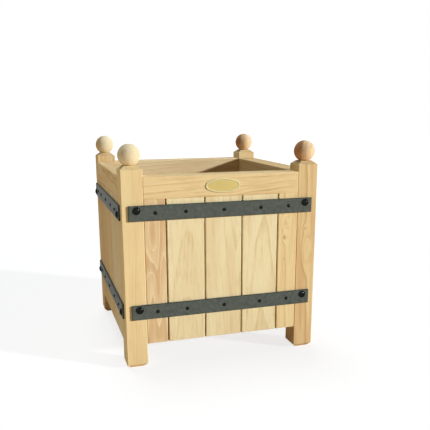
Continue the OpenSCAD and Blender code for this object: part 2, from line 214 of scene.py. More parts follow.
def eased_bar(
    low: Sequence[float], high: Sequence[float], axis: int, ease: float, first: BarEnd, last: BarEnd
) -> Shell:
    """A straight bar whose long edges and ends are eased.

    Each ring is a rectangle with round corners: corner k has its centre at the half sizes less the
    radius, and its points lie at that radius, at angles from 90k to 90(k+1) degrees. Towards each
    end the half sizes shrink by the inset that the end's profile gives.

    Args:
        low: Lowest corner of the bar.
        high: Highest corner.
        axis: 0, 1 or 2 for a bar along X, Y or Z.
        ease: Radius of the long edges.
        first: Shape of the end at the low corner.
        last: Shape of the end at the high corner.

    Returns:
        The closed shell.
    """
    low, high = np.asarray(low, float), np.asarray(high, float)
    (start, start_wear), (stop, stop_wear) = first.profile(), last.profile()
    along = np.concatenate([low[axis] + start[:, 0], high[axis] - stop[::-1, 0]])
    inset = np.concatenate([start[:, 1], stop[::-1, 1]])[:, None]
    end_wear = np.concatenate([start_wear, stop_wear[::-1]])[:, None]
    one, two = (axis + 1) % 3, (axis + 2) % 3
    half_one, half_two = ((high[k] - low[k]) / 2 - inset for k in (one, two))
    radius = np.clip(ease - inset / 2, LEAST_EASE * ease, ease)
    steps = np.tile(np.linspace(0.0, 1.0, EDGE_POINTS), 4)
    corner = np.repeat(np.arange(4), EDGE_POINTS)
    angle = (corner + steps) * QUARTER
    sign_one = np.array([1, -1, -1, 1])[corner]
    sign_two = np.array([1, 1, -1, -1])[corner]
    rings = np.empty((len(along), len(angle), 3))
    rings[..., axis] = along[:, None]
    rings[..., one] = (low[one] + high[one]) / 2 + sign_one * (half_one - radius) + radius * np.cos(angle)
    rings[..., two] = (low[two] + high[two]) / 2 + sign_two * (half_two - radius) + radius * np.sin(angle)
    return tube(rings, np.maximum(end_wear, np.sin(np.pi * steps)), End.FLAT)


def around(places: int) -> np.ndarray:
    """The angles of a ring's points, in radians."""
    return np.linspace(0.0, 2 * np.pi, places, endpoint=False)


def turned(
    radius: np.ndarray, height: np.ndarray, places: int, end: End, wear: np.ndarray | None = None
) -> Shell:
    """Turns a profile about +Z: at the angle a, x = r cos a, y = r sin a and z = h.

    Args:
        radius: The radius at each step, or at each step and place for a thread or a hexagon.
        height: The height at each step, in the same form.
        places: Points around each ring.
        end: End.POLE for a profile that starts and ends on the axis, End.RING for a closed one.
        wear: The wear at each step, or None for 0.

    Returns:
        The closed shell.
    """
    angle = around(places)
    r, h = (np.broadcast_to(x.reshape(len(x), -1), (len(x), places)) for x in (radius, height))
    edge = np.zeros(len(r)) if wear is None else wear
    rings = np.stack([r * np.cos(angle), r * np.sin(angle), h], axis=-1)
    edge = np.broadcast_to(edge[:, None], r.shape)
    if end is End.RING:
        return tube(rings, edge, end)
    poles = np.array([[0.0, 0.0, h[0, 0]], [0.0, 0.0, h[-1, 0]]])
    return tube(rings[1:-1], edge[1:-1], end, poles)


def corner_normals(shell: Shell) -> tuple[np.ndarray, np.ndarray, np.ndarray]:
    """Works out a shell's face corners and the normal at each.

    The normal at a corner is the sum of the area normals of the faces that share its point and
    lean less than CREASE from its own face. A big flat face so keeps its own normal up to its
    rounded edges.

    Args:
        shell: The surfaces.

    Returns:
        The point of each corner, the first corner of each face, and the normal of each corner.
    """
    areas, points, sizes = [], [], []
    for faces in shell.faces:
        at = shell.points[faces] - shell.points[faces[:, :1]]
        areas.append(np.cross(at, np.roll(at, -1, axis=1)).sum(axis=1) / 2)
        points.append(faces.reshape(-1))
        sizes.append(np.full(len(faces), faces.shape[1]))
    area, point, size = np.concatenate(areas), np.concatenate(points), np.concatenate(sizes)
    unit = area / np.maximum(np.linalg.norm(area, axis=1, keepdims=True), TINY)
    face = np.repeat(np.arange(len(size)), size)
    order = np.argsort(point, kind="stable")
    shared = np.bincount(point, minlength=len(shell.points))
    count = shared[point[order]]
    first = (np.cumsum(shared) - shared)[point[order]]
    mine = np.repeat(np.arange(len(point)), count)
    other = np.arange(count.sum()) - np.repeat(np.cumsum(count) - count, count) + np.repeat(first, count)
    my_face, other_face = face[order][mine], face[order][other]
    near = np.einsum("ij,ij->i", unit[my_face], unit[other_face]) > math.cos(CREASE)
    weight = area[other_face] * near[:, None]
    total = np.stack([np.bincount(mine, weight[:, k], len(point)) for k in range(3)], axis=1)
    normals = np.empty_like(total)
    normals[order] = total / np.maximum(np.linalg.norm(total, axis=1, keepdims=True), TINY)
    return point, np.cumsum(size) - size, normals


def in_scene(name: str, data: bpy.types.ID) -> bpy.types.Object:
    """Puts a new object into the scene.

    Args:
        name: The object's name.
        data: Its mesh, light or camera.

    Returns:
        The new object.
    """
    made = bpy.data.objects.new(name, data)
    bpy.context.scene.collection.objects.link(made)
    return made


def add_mesh(name: str, shell: Shell, material: bpy.types.Material) -> bpy.types.Object:
    """Puts a shell into the scene as an object at the origin, with its wear as an attribute.

    Args:
        name: The object's name.
        shell: Its surfaces.
        material: Its finish.

    Returns:
        The new object.
    """
    point, starts, normals = corner_normals(shell)
    mesh = bpy.data.meshes.new(name)
    mesh.vertices.add(len(shell.points))
    mesh.vertices.foreach_set("co", shell.points.astype(np.float32).ravel())
    mesh.loops.add(len(point))
    mesh.loops.foreach_set("vertex_index", point.astype(np.int32))
    mesh.polygons.add(len(starts))
    mesh.polygons.foreach_set("loop_start", starts.astype(np.int32))
    mesh.update(calc_edges=True)
    mesh.shade_smooth()
    mesh.normals_split_custom_set(normals.tolist())
    mesh.attributes.new("edge", "FLOAT", "POINT").data.foreach_set("value", shell.edge.astype(np.float32))
    mesh.materials.append(material)
    return in_scene(name, mesh)


def add_piece(
    node: str, look: str, shell: Shell, material: bpy.types.Material, body: str = "frame"
) -> None:
    """Adds a piece of the planter in the place of its CAD node.

    Args:
        node: The CAD node that it stands for.
        look: The word for its finish that its name adds to the node's.
        shell: Its surfaces.
        material: Its finish.
        body: The CAD body that it moves with.
    """
    piece = add_mesh(f"{node}_{look}", shell, material)
    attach(piece, body)
    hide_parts(node)
    LOG.info("%s: %d points, rides on %s", piece.name, len(shell.points), body)


# ---- sizes ----


class Side(Enum):
    """The planter's four sides, each a quarter turn on from the one before."""

    FRONT = 0
    RIGHT = 1
    REAR = 2
    LEFT = 3

    @property
    def label(self) -> str:
        """The side's name in the CAD nodes."""
        return self.name.lower()

    @property
    def turn(self) -> np.ndarray:
        """The turn that takes what is drawn for the front to this side."""
        c, s = round(math.cos(self.value * QUARTER)), round(math.sin(self.value * QUARTER))
        return np.array([[c, -s, 0], [s, c, 0], [0, 0, 1]], float)

    @property
    def bar_axis(self) -> int:
        """The axis along which this side's rails and straps run."""
        return self.value % 2


@dataclass(frozen=True)
class Plan:
    """The planter's driving sizes, read off the frame.

    Attributes:
        face: Distance from the middle to the outer faces.
        inner: Distance from the middle to the posts' inner faces.
        strap_face: Distance from the middle to the straps' outer faces.
        strap_heights: Heights of the centre lines of the lower and the upper straps.
    """

    face: float
    inner: float
    strap_face: float
    strap_heights: tuple[float, float]

    @classmethod
    def from_frame(cls) -> "Plan":
        """Reads the sizes off the front's nodes.

        Returns:
            The driving sizes.
        """
        post_low, post_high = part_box("front_left_post")
        straps = [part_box(f"front_{level}_strap") for level in ("lower", "upper")]
        return cls(
            face=-post_low.y,
            inner=-post_high.y,
            strap_face=-straps[0][0].y,
            strap_heights=tuple((low.z + high.z) / 2 for low, high in straps),
        )


# ---- shader wiring ----


def tone(colour: Bytes) -> Colour:
    """The linear colour of three sRGB bytes."""
    linear = [(c / 255 / 12.92) if c <= 10 else ((c / 255 + 0.055) / 1.055) ** 2.4 for c in colour]
    return (*linear, 1.0)


Sockets = dict[str, float | tuple[float, ...]]
GROUPS: dict[str, bpy.types.NodeTree] = {}


class Wiring:
    """Adds nodes to one tree and joins them."""

    def __init__(self, tree: bpy.types.NodeTree) -> None:
        """Keeps the tree."""
        self.tree = tree

    def node(
        self, kind: str, values: dict[str | int, Value] | None = None, **settings: object
    ) -> bpy.types.Node:
        """Adds a node.

        Args:
            kind: The node's type without its "ShaderNode".
            values: What goes into its inputs, a socket to be joined or a value to be set.
            **settings: The node's own settings.

        Returns:
            The new node.
        """
        made = self.tree.nodes.new(kind if kind.startswith("NodeGroup") else "ShaderNode" + kind)
        for name, setting in settings.items():
            setattr(made, name, setting)
        for key, value in (values or {}).items():
            if isinstance(value, Socket):
                self.tree.links.new(value, made.inputs[key])
            else:
                made.inputs[key].default_value = value
        return made

    def group(self, name: str, values: dict[str, Value]) -> bpy.types.Node:
        """Places one of the shader node groups with its own values."""
        return self.node("Group", values, node_tree=GROUPS[name])

    def feed(self, node: bpy.types.Node, sockets: dict[str, Socket]) -> None:
        """Joins each socket to the node's input of that name."""
        for label, socket in sockets.items():
            self.tree.links.new(socket, node.inputs[label])

    def math(self, operation: str, a: Value, b: Value = 0.0, clamp: bool = False) -> Socket:
        """The result of a Math node on one or two values."""
        return self.node("Math", {0: a, 1: b}, operation=operation, use_clamp=clamp).outputs[0]

    def plus(self, a: Value, b: Value, clamp: bool = False) -> Socket:
        """The sum of two values."""
        return self.math("ADD", a, b, clamp)

    def minus(self, a: Value, b: Value) -> Socket:
        """The first value less the second."""
        return self.math("SUBTRACT", a, b)

    def times(self, a: Value, b: Value, clamp: bool = False) -> Socket:
        """The product of two values."""
        return self.math("MULTIPLY", a, b, clamp)

    def total(self, first: Value, *terms: tuple[Value, Value]) -> Value:
        """A first value plus each further value times its weight.

        Args:
            first: The first value.
            terms: Each further value with its weight.

        Returns:
            The total.
        """
        for value, weight in terms:
            first = self.plus(first, self.times(value, weight))
        return first

    def vector(self, operation: str, a: Value, b: Value = (0.0, 0.0, 0.0)) -> Socket:
        """The vector result of a Vector Math node."""
        return self.node("VectorMath", {0: a, 1: b}, operation=operation).outputs["Vector"]

    def dot(self, a: Value, b: Value) -> Socket:
        """The dot product of two vectors."""
        return self.node("VectorMath", {0: a, 1: b}, operation="DOT_PRODUCT").outputs["Value"]

    def length(self, a: Value) -> Socket:
        """The length of a vector."""
        return self.node("VectorMath", {0: a}, operation="LENGTH").outputs["Value"]

    def scaled(self, a: Value, factor: Value) -> Socket:
        """A vector or a colour times a number."""
        return self.node("VectorMath", {0: a, "Scale": factor}, operation="SCALE").outputs["Vector"]

    def noise(
        self, place: Value, per_metre: Sequence[float], detail: float = 2.0, colour: bool = False
    ) -> Socket:
        """Noise that runs at its own rate along each axis.

        Args:
            place: The point, in metres.
            per_metre: Features per metre along X, Y and Z.
            detail: Octaves of finer noise.
            colour: Whether the three-channel output is wanted.

        Returns:
            The noise, about 0.5.
        """
        stretched = self.vector("MULTIPLY", place, tuple(per_metre))
        made = self.node("TexNoise", {"Vector": stretched, "Scale": 1.0, "Detail": detail})
        return made.outputs["Color" if colour else "Fac"]

    def swing(self, place: Value, per_metre: Sequence[float], detail: float) -> Socket:
        """The same noise, about 0."""
        return self.minus(self.noise(place, per_metre, detail), 0.5)

    def even_noise(self, place: Value, scale: Value, detail: float) -> Socket:
        """Noise that runs at the same rate along all axes, about 0.5."""
        return self.node("TexNoise", {"Vector": place, "Scale": scale, "Detail": detail}).outputs["Fac"]

    def step(self, value: Value, low: Value, high: Value, to: tuple[float, float] = (0.0, 1.0)) -> Socket:
        """A smooth step from to[0] at low to to[1] at high."""
        values = {"Value": value, "From Min": low, "From Max": high, "To Min": to[0], "To Max": to[1]}
        return self.node("MapRange", values, interpolation_type="SMOOTHSTEP").outputs["Result"]

    def mix(self, factor: Value, a: Value, b: Value) -> Socket:
        """Colour a where the factor is 0 and colour b where it is 1."""
        return self.node("Mix", {0: factor, 6: a, 7: b}, data_type="RGBA").outputs[2]


def socket_kind(value: float | tuple[float, ...]) -> str:
    """Finds the type of socket that a value needs.

    Args:
        value: A number, a vector of three or a colour of four.

    Returns:
        The socket type.
    """
    if isinstance(value, tuple):
        return "NodeSocketColor" if len(value) == 4 else "NodeSocketVector"
    return "NodeSocketFloat"


def new_group(
    name: str, inputs: Sockets, outputs: Sockets
) -> tuple[Wiring, bpy.types.Node, bpy.types.Node]:
    """Starts a shader node group.

    Args:
        name: The group's name.
        inputs: Its input sockets and their defaults.
        outputs: Its output sockets, each with a value of its kind.

    Returns:
        The group's wiring, its input node and its output node.
    """
    tree = bpy.data.node_groups.new(name, "ShaderNodeTree")
    for way, sockets in (("INPUT", inputs), ("OUTPUT", outputs)):
        for label, value in sockets.items():
            made = tree.interface.new_socket(label, in_out=way, socket_type=socket_kind(value))
            if way == "INPUT":
                made.default_value = value
    GROUPS[name] = tree
    wiring = Wiring(tree)
    return wiring, wiring.node("NodeGroupInput"), wiring.node("NodeGroupOutput")


# the timber's noises: features per metre along X, Y and the grain, and octaves of finer noise
PITH_DRIFT = ((13, 13, 2.4), 1.5)
RAGGED_RINGS = ((70, 70, 7), 1.0)
WAVY_RINGS = ((24, 24, 9), 1.0)
FIBRES = ((820, 820, 11), 3.0)
STREAKS = ((190, 190, 3.4), 2.5)
FLECKS = ((80, 80, 26), 2.0)
REDDER_PATCHES = ((24, 24, 3.2), 2.0)
PORES = ((1500, 1500, 55), 1.0)
RAGGED_KNOTS = ((260, 260, 260), 2.0)

ACROSS_LOG = (1.0, 1.0, 0.0)
FALLING = (1.0, 0.0)  # a step that starts at 1 and ends at 0
RAGGED_BY = 1.0 * MM  # how far a ring's outline is ragged
YEAR_RATE = 34.0  # changes in the rings' width per metre out from the pith
YEAR_SWING = 2.4  # how many rings those changes shift a ring by
RING_END = (0.86, 1.0)  # where in its ring the late wood falls back
VIGOUR = {"To Min": 0.35, "To Max": 1.5}  # the faintest and the strongest year's late wood
HEARTWOOD_SHADE_EDGE = 6 * MM  # half the width over which the redder wood, partly painted shade, turns pale
PORES_OPEN = (0.66, 0.78)  # values of the noise between which a pore opens
PATCHES_OPEN = (0.42, 0.66)  # the same for a patch of redder wood

# the weights of the timber's effects in its colour, its relief and its roughness
HEARTWOOD_SHADE_RAGGED = 2.0
BAND_TAN, STREAK_TAN, FLECK_TAN = 0.5, 1.6, 0.7
STREAK_SHADE, PORE_SHADE = 0.14, -0.10
RIM_STAIN = 0.55
RING_RELIEF, FIBRE_RELIEF, PORE_RELIEF = 0.55, 0.5, -0.35
PLAIN_ROUGH, FIBRE_ROUGH, RING_ROUGH = 0.86, 0.16, -0.06

KNOT_SWELL, KNOT_FALL = 2.2, 0.22
KNOT_RAGGED = 0.7  # how ragged a knot's outline is, in its own radii
KNOT_HEART, KNOT_RIM = (0.55, 1.0), (1.0, 2.4)  # where the heart and the rim fade, in its own radii
RIM_SHARE = 0.6  # how dark the rim is beside the heart

WEAR_BREAKS = 1.1  # how far noise breaks up the wear of an edge
WEAR_SHOWS = (0.35, 1.05)  # values between which the wear comes to show

GRIT_SHADE = 0.6  # how strong the grit is in a coat's shade, beside its clouds
GRIT_RELIEF, CLOUD_RELIEF = 0.7, 0.3


def build_timber_group() -> None:
    """Timber as a solid log with its pith on the Z axis.

    The ring number is the distance from the pith, which wanders slowly along the log and narrows
    with the taper, over the ring width. Through each ring the wood darkens with the way across it,
    to the power of the ripening, and falls back at the ring's end. Long stretched noise gives the
    fibre, the streaks of late wood and the short dark pores. The blush of redder wood lies in slow
    patches of noise and within a radius of redder wood about the pith, which on three balls covers
    their shaded half and so is partly painted shade. The colour, the height and the roughness are
    totals of these effects, each times its weight.
    """
    w, given, out = new_group(
        "timber",
        {
            "Vector": (0.0, 0.0, 0.0), "Ring Width": 0.003, "Taper": 0.01, "Wander": 0.01,
            "Waves": 0.003, "Ripening": 2.6, "Heartwood": 0.0, "Swell": 0.0, "Heart": 0.0, "Rim": 0.0,
            "Pale": tone((236, 216, 166)), "Late": tone((206, 168, 112)), "Blush": tone((226, 186, 138)),
            "Knot": tone((148, 92, 54)),
            "Late Strength": 0.5, "Blush Strength": 0.4, "Fibre Strength": 0.24, "Streak Strength": 0.5,
        },
        {"Color": (0.0, 0.0, 0.0, 1.0), "Roughness": 0.0, "Height": 0.0},
    )
    p, g = given.outputs["Vector"], given.outputs
    # the distance from the pith, once the pith's slow wander is taken off
    drift = w.vector("SUBTRACT", w.noise(p, *PITH_DRIFT, colour=True), (0.5, 0.5, 0.5))
    wander = w.scaled(w.vector("MULTIPLY", drift, ACROSS_LOG), g["Wander"])
    across = w.length(w.vector("MULTIPLY", w.vector("ADD", p, wander), ACROSS_LOG))
    height = w.node("SeparateXYZ", {0: p}).outputs["Z"]
    radius = w.plus(w.plus(across, w.times(height, g["Taper"])), g["Swell"])
    # the ring number, with ragged and wavy outlines and years of uneven growth
    wavy = w.times(w.swing(p, *WAVY_RINGS), g["Waves"])
    ragged = w.plus(w.times(w.swing(p, *RAGGED_RINGS), RAGGED_BY), wavy)
    years = {"W": w.times(radius, YEAR_RATE), "Scale": 1.0, "Detail": 1.0}
    uneven = w.minus(w.node("TexNoise", years, noise_dimensions="1D").outputs["Fac"], 0.5)
    ring = w.math("DIVIDE", w.plus(radius, ragged), g["Ring Width"])
    ring = w.plus(ring, w.times(uneven, YEAR_SWING))
    # how far through its ring a point is, and how strong that year's ring is
    through, year = w.math("FRACT", ring), w.math("FLOOR", ring)
    ripe = w.times(w.math("POWER", through, g["Ripening"]), w.step(through, *RING_END, FALLING))
    vigour = w.node("TexWhiteNoise", {"W": year}, noise_dimensions="1D").outputs["Value"]
    strong = w.node("MapRange", {"Value": vigour, **VIGOUR}).outputs["Result"]
    late, band = w.times(ripe, strong, clamp=True), w.minus(vigour, 0.5)
    # the finer figure and the redder wood
    fibre, streak, fleck = (w.swing(p, *noise) for noise in (FIBRES, STREAKS, FLECKS))
    pores = w.step(w.noise(p, *PORES), *PORES_OPEN)
    patches = w.times(w.step(w.noise(p, *REDDER_PATCHES), *PATCHES_OPEN), g["Blush Strength"])
    # the redder wood about the pith; on three balls it covers the shaded half, a painted shade
    inside = w.minus(g["Heartwood"], w.total(across, (ragged, HEARTWOOD_SHADE_RAGGED)))
    blush = w.math("MAXIMUM", patches, w.step(inside, -HEARTWOOD_SHADE_EDGE, HEARTWOOD_SHADE_EDGE))
    # what they add up to
    tanned = w.times(w.total(late, (band, BAND_TAN)), g["Late Strength"])
    streaked = w.times(w.total(0.0, (streak, STREAK_TAN), (fleck, FLECK_TAN)), g["Streak Strength"])
    base = w.mix(w.plus(tanned, streaked, clamp=True), w.mix(blush, g["Pale"], g["Blush"]), g["Late"])
    shade = w.total(1.0, (fibre, g["Fibre Strength"]), (streak, STREAK_SHADE), (pores, PORE_SHADE))
    base = w.mix(w.times(g["Rim"], RIM_STAIN), w.scaled(base, shade), g["Knot"])
    base = w.mix(g["Heart"], base, g["Knot"])
    relief = w.total(0.0, (late, RING_RELIEF), (fibre, FIBRE_RELIEF), (pores, PORE_RELIEF))
    rough = w.total(PLAIN_ROUGH, (fibre, FIBRE_ROUGH), (late, RING_ROUGH))
    w.feed(out, {"Color": base, "Roughness": rough, "Height": relief})


def build_knot_group() -> None:
    """A knot whose branch runs through the piece along its axis.

    With d the distance from the branch's line in knot radii, shortened along the grain by the
    stretch, the rings swell by KNOT_SWELL radii times exp(-KNOT_FALL d^2), the heart is where d is
    under 1 and the rim darkens the wood just outside it.
    """
    w, given, out = new_group(
        "knot",
        {
            "Vector": (0.0, 0.0, 0.0), "Centre": (0.0, 0.0, 0.0), "Axis": (0.0, 1.0, 0.0),
            "Grain": (0.0, 0.0, 1.0), "Stretch": 1.0, "Radius": 0.004, "Depth": 1.0,
        },
        {"Swell": 0.0, "Heart": 0.0, "Rim": 0.0},
    )
    g = given.outputs
    away = w.vector("SUBTRACT", g["Vector"], g["Centre"])
    flat = w.vector("SUBTRACT", away, w.scaled(g["Axis"], w.dot(away, g["Axis"])))
    shortened = w.times(w.dot(flat, g["Grain"]), w.minus(w.math("DIVIDE", 1.0, g["Stretch"]), 1.0))
    flat = w.vector("ADD", flat, w.scaled(g["Grain"], shortened))
    smooth = w.math("DIVIDE", w.length(flat), g["Radius"])
    d = w.total(smooth, (w.swing(g["Vector"], *RAGGED_KNOTS), KNOT_RAGGED))
    fall = w.math("EXPONENT", w.times(w.times(smooth, smooth), -KNOT_FALL))
    swell = w.times(w.times(fall, g["Radius"]), KNOT_SWELL)
    heart = w.times(w.step(d, *KNOT_HEART, FALLING), g["Depth"])
    rim = w.times(w.step(d, *KNOT_RIM, FALLING), w.times(g["Depth"], RIM_SHARE))
    w.feed(out, {"Swell": swell, "Heart": heart, "Rim": rim})


def build_edge_group() -> None:
    """Wear along the eased edges: the mesh's edge value, broken up by noise."""
    inputs = {"Vector": (0.0, 0.0, 0.0), "Edge": 0.0, "Patches": 60.0}
    w, given, out = new_group("edge_wear", inputs, {"Mask": 0.0})
    g = given.outputs
    patch = w.minus(w.even_noise(g["Vector"], g["Patches"], 3.0), 0.5)
    reach = w.total(g["Edge"], (patch, WEAR_BREAKS))
    w.feed(out, {"Mask": w.times(w.step(reach, *WEAR_SHOWS), g["Edge"])})


def build_mottle_group() -> None:
    """Slow clouds and fine grit of a sprayed or plated coat, as a shade about 1 and a height."""
    inputs = {"Vector": (0.0, 0.0, 0.0), "Clouds": 40.0, "Grit": 900.0, "Strength": 0.15}
    w, given, out = new_group("coat_mottle", inputs, {"Shade": 1.0, "Height": 0.0})
    g = given.outputs
    cloud = w.even_noise(g["Vector"], g["Clouds"], 3.0)
    grit = w.even_noise(g["Vector"], g["Grit"], 2.0)
    both = w.total(w.minus(cloud, 0.5), (w.minus(grit, 0.5), GRIT_SHADE))
    height = w.total(0.0, (grit, GRIT_RELIEF), (cloud, CLOUD_RELIEF))
    w.feed(out, {"Shade": w.total(1.0, (both, g["Strength"])), "Height": height})


def cleared(owner: bpy.types.Material | bpy.types.World) -> Wiring:
    """Turns on the nodes of a new material or world and takes away its first ones.

    Args:
        owner: The material or world.

    Returns:
        The wiring of its tree.
    """
    owner.use_nodes = True
    owner.node_tree.nodes.clear()
    return Wiring(owner.node_tree)


def new_material(name: str) -> tuple[bpy.types.Material, Wiring, bpy.types.Node, Socket]:
    """Starts a material.

    Args:
        name: The material's name.

    Returns:
        The material, its wiring, its Principled shader and the object coordinates.
    """
    material = bpy.data.materials.new(name)
    w = cleared(material)
    shader = w.node("BsdfPrincipled")
    w.node("OutputMaterial", {"Surface": shader.outputs[0]})
    return material, w, shader, w.node("TexCoord").outputs["Object"]


def edge_masks(w: Wiring, place: Socket, patches: float) -> tuple[Socket, Socket]:
    """Reads the mesh's edge value and works out where the edges are worn.

    Args:
        w: The material's wiring.
        place: The object coordinates.
        patches: Patches of wear per metre.

    Returns:
        The edge value and the mask of the worn edges.
    """
    edge = w.node("Attribute", attribute_name="edge").outputs["Fac"]
    worn = w.group("edge_wear", {"Vector": place, "Edge": edge, "Patches": patches})
    return edge, worn.outputs["Mask"]


def bumped(w: Wiring, height: Socket, relief: float, strength: float) -> Socket:
    """The normal of a surface with this height, its relief in metres."""
    return w.node("Bump", {"Height": height, "Distance": relief, "Strength": strength}).outputs[0]


# ---- timber ----


@dataclass(frozen=True)
class Knot:
    """A knot on a piece's outer face.

    Attributes:
        across: Distance from the piece's middle, across the grain.
        along: Distance from the piece's middle, along the grain.
        radius: Its radius.
        depth: How dark it is, from 0 to 1; at 0 only the rings around it show.
        stretch: How much longer than wide the rings around it are.
    """

    across: float
    along: float
    radius: float
    depth: float = 0.6
    stretch: float = 1.0


@dataclass(frozen=True)
class Figure:
    """How a piece was sawn out of its log, which gives the grain on its faces.

    Attributes:
        across: Distance from the piece's middle to the pith, across the grain.
        behind: Distance of the pith behind the piece's middle.
        lean: How the log leaned across and outwards, in metres per metre of its length.
        ring: Width of a year's ring.
        late: How dark the end of each ring is.
        blush: How much redder wood there is.
        wander: How far the pith wanders.
        waves: How far the rings wave on a small scale.
        ripening: How late in its ring the wood darkens; below 1 only a thin part stays pale.
        streaks: How strong the streaks of late wood are.
        heartwood: Radius of redder wood about the pith, partly painted shade, or 0 for none.
        start: Shift along the log.
        knots: The knots on the outer face.
    """

    across: float
    behind: float
    lean: tuple[float, float] = (0.0, 0.0)
    ring: float = 0.0032
    late: float = 0.5
    blush: float = 0.4
    wander: float = 0.012
    waves: float = 0.003
    ripening: float = 2.6
    streaks: float = 0.5
    heartwood: float = 0.0
    start: float = 0.0
    knots: tuple[Knot, ...] = ()


class Wood(Enum):
    """The shades of wood in the planter, each its pale wood, late wood and blush as sRGB bytes."""

    STRAW = ((241, 227, 184), (208, 178, 124), (230, 204, 157))
    HONEY = ((239, 216, 164), (206, 170, 114), (228, 192, 140))
    ROSE = ((240, 218, 174), (202, 156, 106), (226, 188, 142))
    FAWN = ((237, 212, 161), (200, 163, 110), (226, 190, 140))
    TAN = ((232, 206, 154), (194, 154, 102), (218, 180, 130))
    AMBER = ((234, 198, 138), (198, 148, 86), (228, 176, 108))
    # its blush is the redder wood over the shaded half of two balls, partly painted shade
    RUSSET = ((239, 211, 169), (188, 136, 92), (191, 138, 96))
    SHELL = ((240, 225, 188), (212, 185, 138), (222, 195, 148))
    # sawn wood of the inner pieces, darker than planed partly as painted shade that darkens the inside of
    # the box
    SAWN = ((200, 171, 124), (160, 124, 82), (188, 148, 104))


# painted shade: the wood down in the boards' joints turns dark brown, standing for the shade there
JOINT_PAINTED_SHADE = tone((82, 60, 32))
JOINT_SHADE_SHARE = 0.85  # how far the wood down in a joint turns to its painted shade
WORN_WOOD = 1.09  # how much lighter wood is at a worn edge
WORN_SHARE = 0.7  # how far a worn edge turns that light
BARE_WOOD_GLOSS = 0.08
WOOD_WEAR, METAL_WEAR = 90.0, 150.0  # patches of wear per metre of edge
WOOD_BUMP, METAL_BUMP = 0.8, 0.6  # how strongly a relief tilts the surface


@dataclass(frozen=True)
class TimberFinish:
    """Planed or sawn timber.

    Attributes:
        wood: Its shade.
        figure: How it lay in its log.
        relief: Height of the grain's relief, in metres.
    """

    wood: Wood
    figure: Figure
    relief: float = 0.00012

    def material(self, node: str, grain: Vector, outward: Vector) -> bpy.types.Material:
        """Builds the material of one piece.

        Args:
            node: The CAD node that the piece stands for.
            grain: The direction along its grain.
            outward: The direction that its outer face looks.

        Returns:
            The new material.
        """
        material, w, shader, place = new_material(f"timber_{node}")
        f, middle, across = self.figure, middle_of(node), grain.cross(outward)
        log_axis = (grain + across * f.lean[0] + outward * f.lean[1]).normalized()
        pith = middle + across * f.across - outward * f.behind - log_axis * f.start
        side_axis = outward.cross(log_axis).normalized()
        turn = Matrix((side_axis, log_axis.cross(side_axis), log_axis)).transposed().to_euler()
        log = {"Vector": place, "Location": pith, "Rotation": turn}
        in_log = w.node("Mapping", log, vector_type="TEXTURE")
        pale, late, blush = (tone(colour) for colour in self.wood.value)
        values: dict[str, Value] = {
            "Vector": in_log.outputs[0], "Ring Width": f.ring, "Wander": f.wander, "Waves": f.waves,
            "Ripening": f.ripening, "Heartwood": f.heartwood, "Pale": pale, "Late": late, "Blush": blush,
            "Late Strength": f.late, "Blush Strength": f.blush, "Streak Strength": f.streaks,
        }
        values.update(self._knots(w, place, middle, grain, across, outward))
        timber = w.group("timber", values).outputs
        edge, worn = edge_masks(w, place, WOOD_WEAR)
        lighter = w.scaled(timber["Color"], WORN_WOOD)
        colour = w.mix(w.times(worn, WORN_SHARE), timber["Color"], lighter)
        # painted shade: the wood down in a board joint is darkened
        joint_shade_mask = w.times(edge, -JOINT_SHADE_SHARE, clamp=True)
        w.feed(shader, {
            "Base Color": w.mix(joint_shade_mask, colour, JOINT_PAINTED_SHADE),
            "Roughness": timber["Roughness"],
            "Normal": bumped(w, timber["Height"], self.relief, WOOD_BUMP),
        })
        shader.inputs["Specular IOR Level"].default_value = BARE_WOOD_GLOSS
        return material

    def _knots(
        self, w: Wiring, place: Socket, middle: Vector, grain: Vector, across: Vector, outward: Vector
    ) -> dict[str, Value]:
        """Adds up the figure's knots.

        Args:
            w: The material's wiring.
            place: The object coordinates.
            middle: The piece's middle.
            grain: The direction along its grain.
            across: The direction across its grain.
            outward: The direction that its outer face looks.

        Returns:
            The timber group's swell, heart and rim, or nothing where there are no knots.
        """
        totals: dict[str, Value] = {}
        for knot in self.figure.knots:
            centre = middle + across * knot.across + grain * knot.along
            made = w.group("knot", {
                "Vector": place, "Centre": centre, "Axis": outward, "Grain": grain,
                "Stretch": knot.stretch, "Radius": knot.radius, "Depth": knot.depth,
            })
            for label, operation in (("Swell", "ADD"), ("Heart", "MAXIMUM"), ("Rim", "MAXIMUM")):
                here = made.outputs[label]
                totals[label] = w.math(operation, totals[label], here) if label in totals else here
        return totals


class Cut(Enum):
    """How the boards that the photograph doesn't show were sawn: the pith's place beside and behind."""

    FLAT = (0.006, 0.034)
    RIFT = (0.075, 0.050)
    QUARTER = (0.150, 0.016)

    def figure(self, draw: np.random.Generator) -> Figure:
        """A figure of this cut, with its place drawn at random.

        Args:
            draw: The seeded generator.

        Returns:
            The figure.
        """
        across, behind = self.value
        way = draw.choice([-1.0, 1.0])
        return Figure(
            across=way * (across + draw.uniform(-0.004, 0.012)),
            behind=behind + draw.uniform(0.0, 0.014),
            lean=tuple(draw.uniform(-0.02, 0.02, 2)),
            ring=draw.uniform(0.0026, 0.0048),
            late=draw.uniform(0.35, 0.62),
            blush=draw.uniform(0.2, 0.7),
            start=draw.uniform(0.0, 4.0),
        )


# ---- other finishes ----


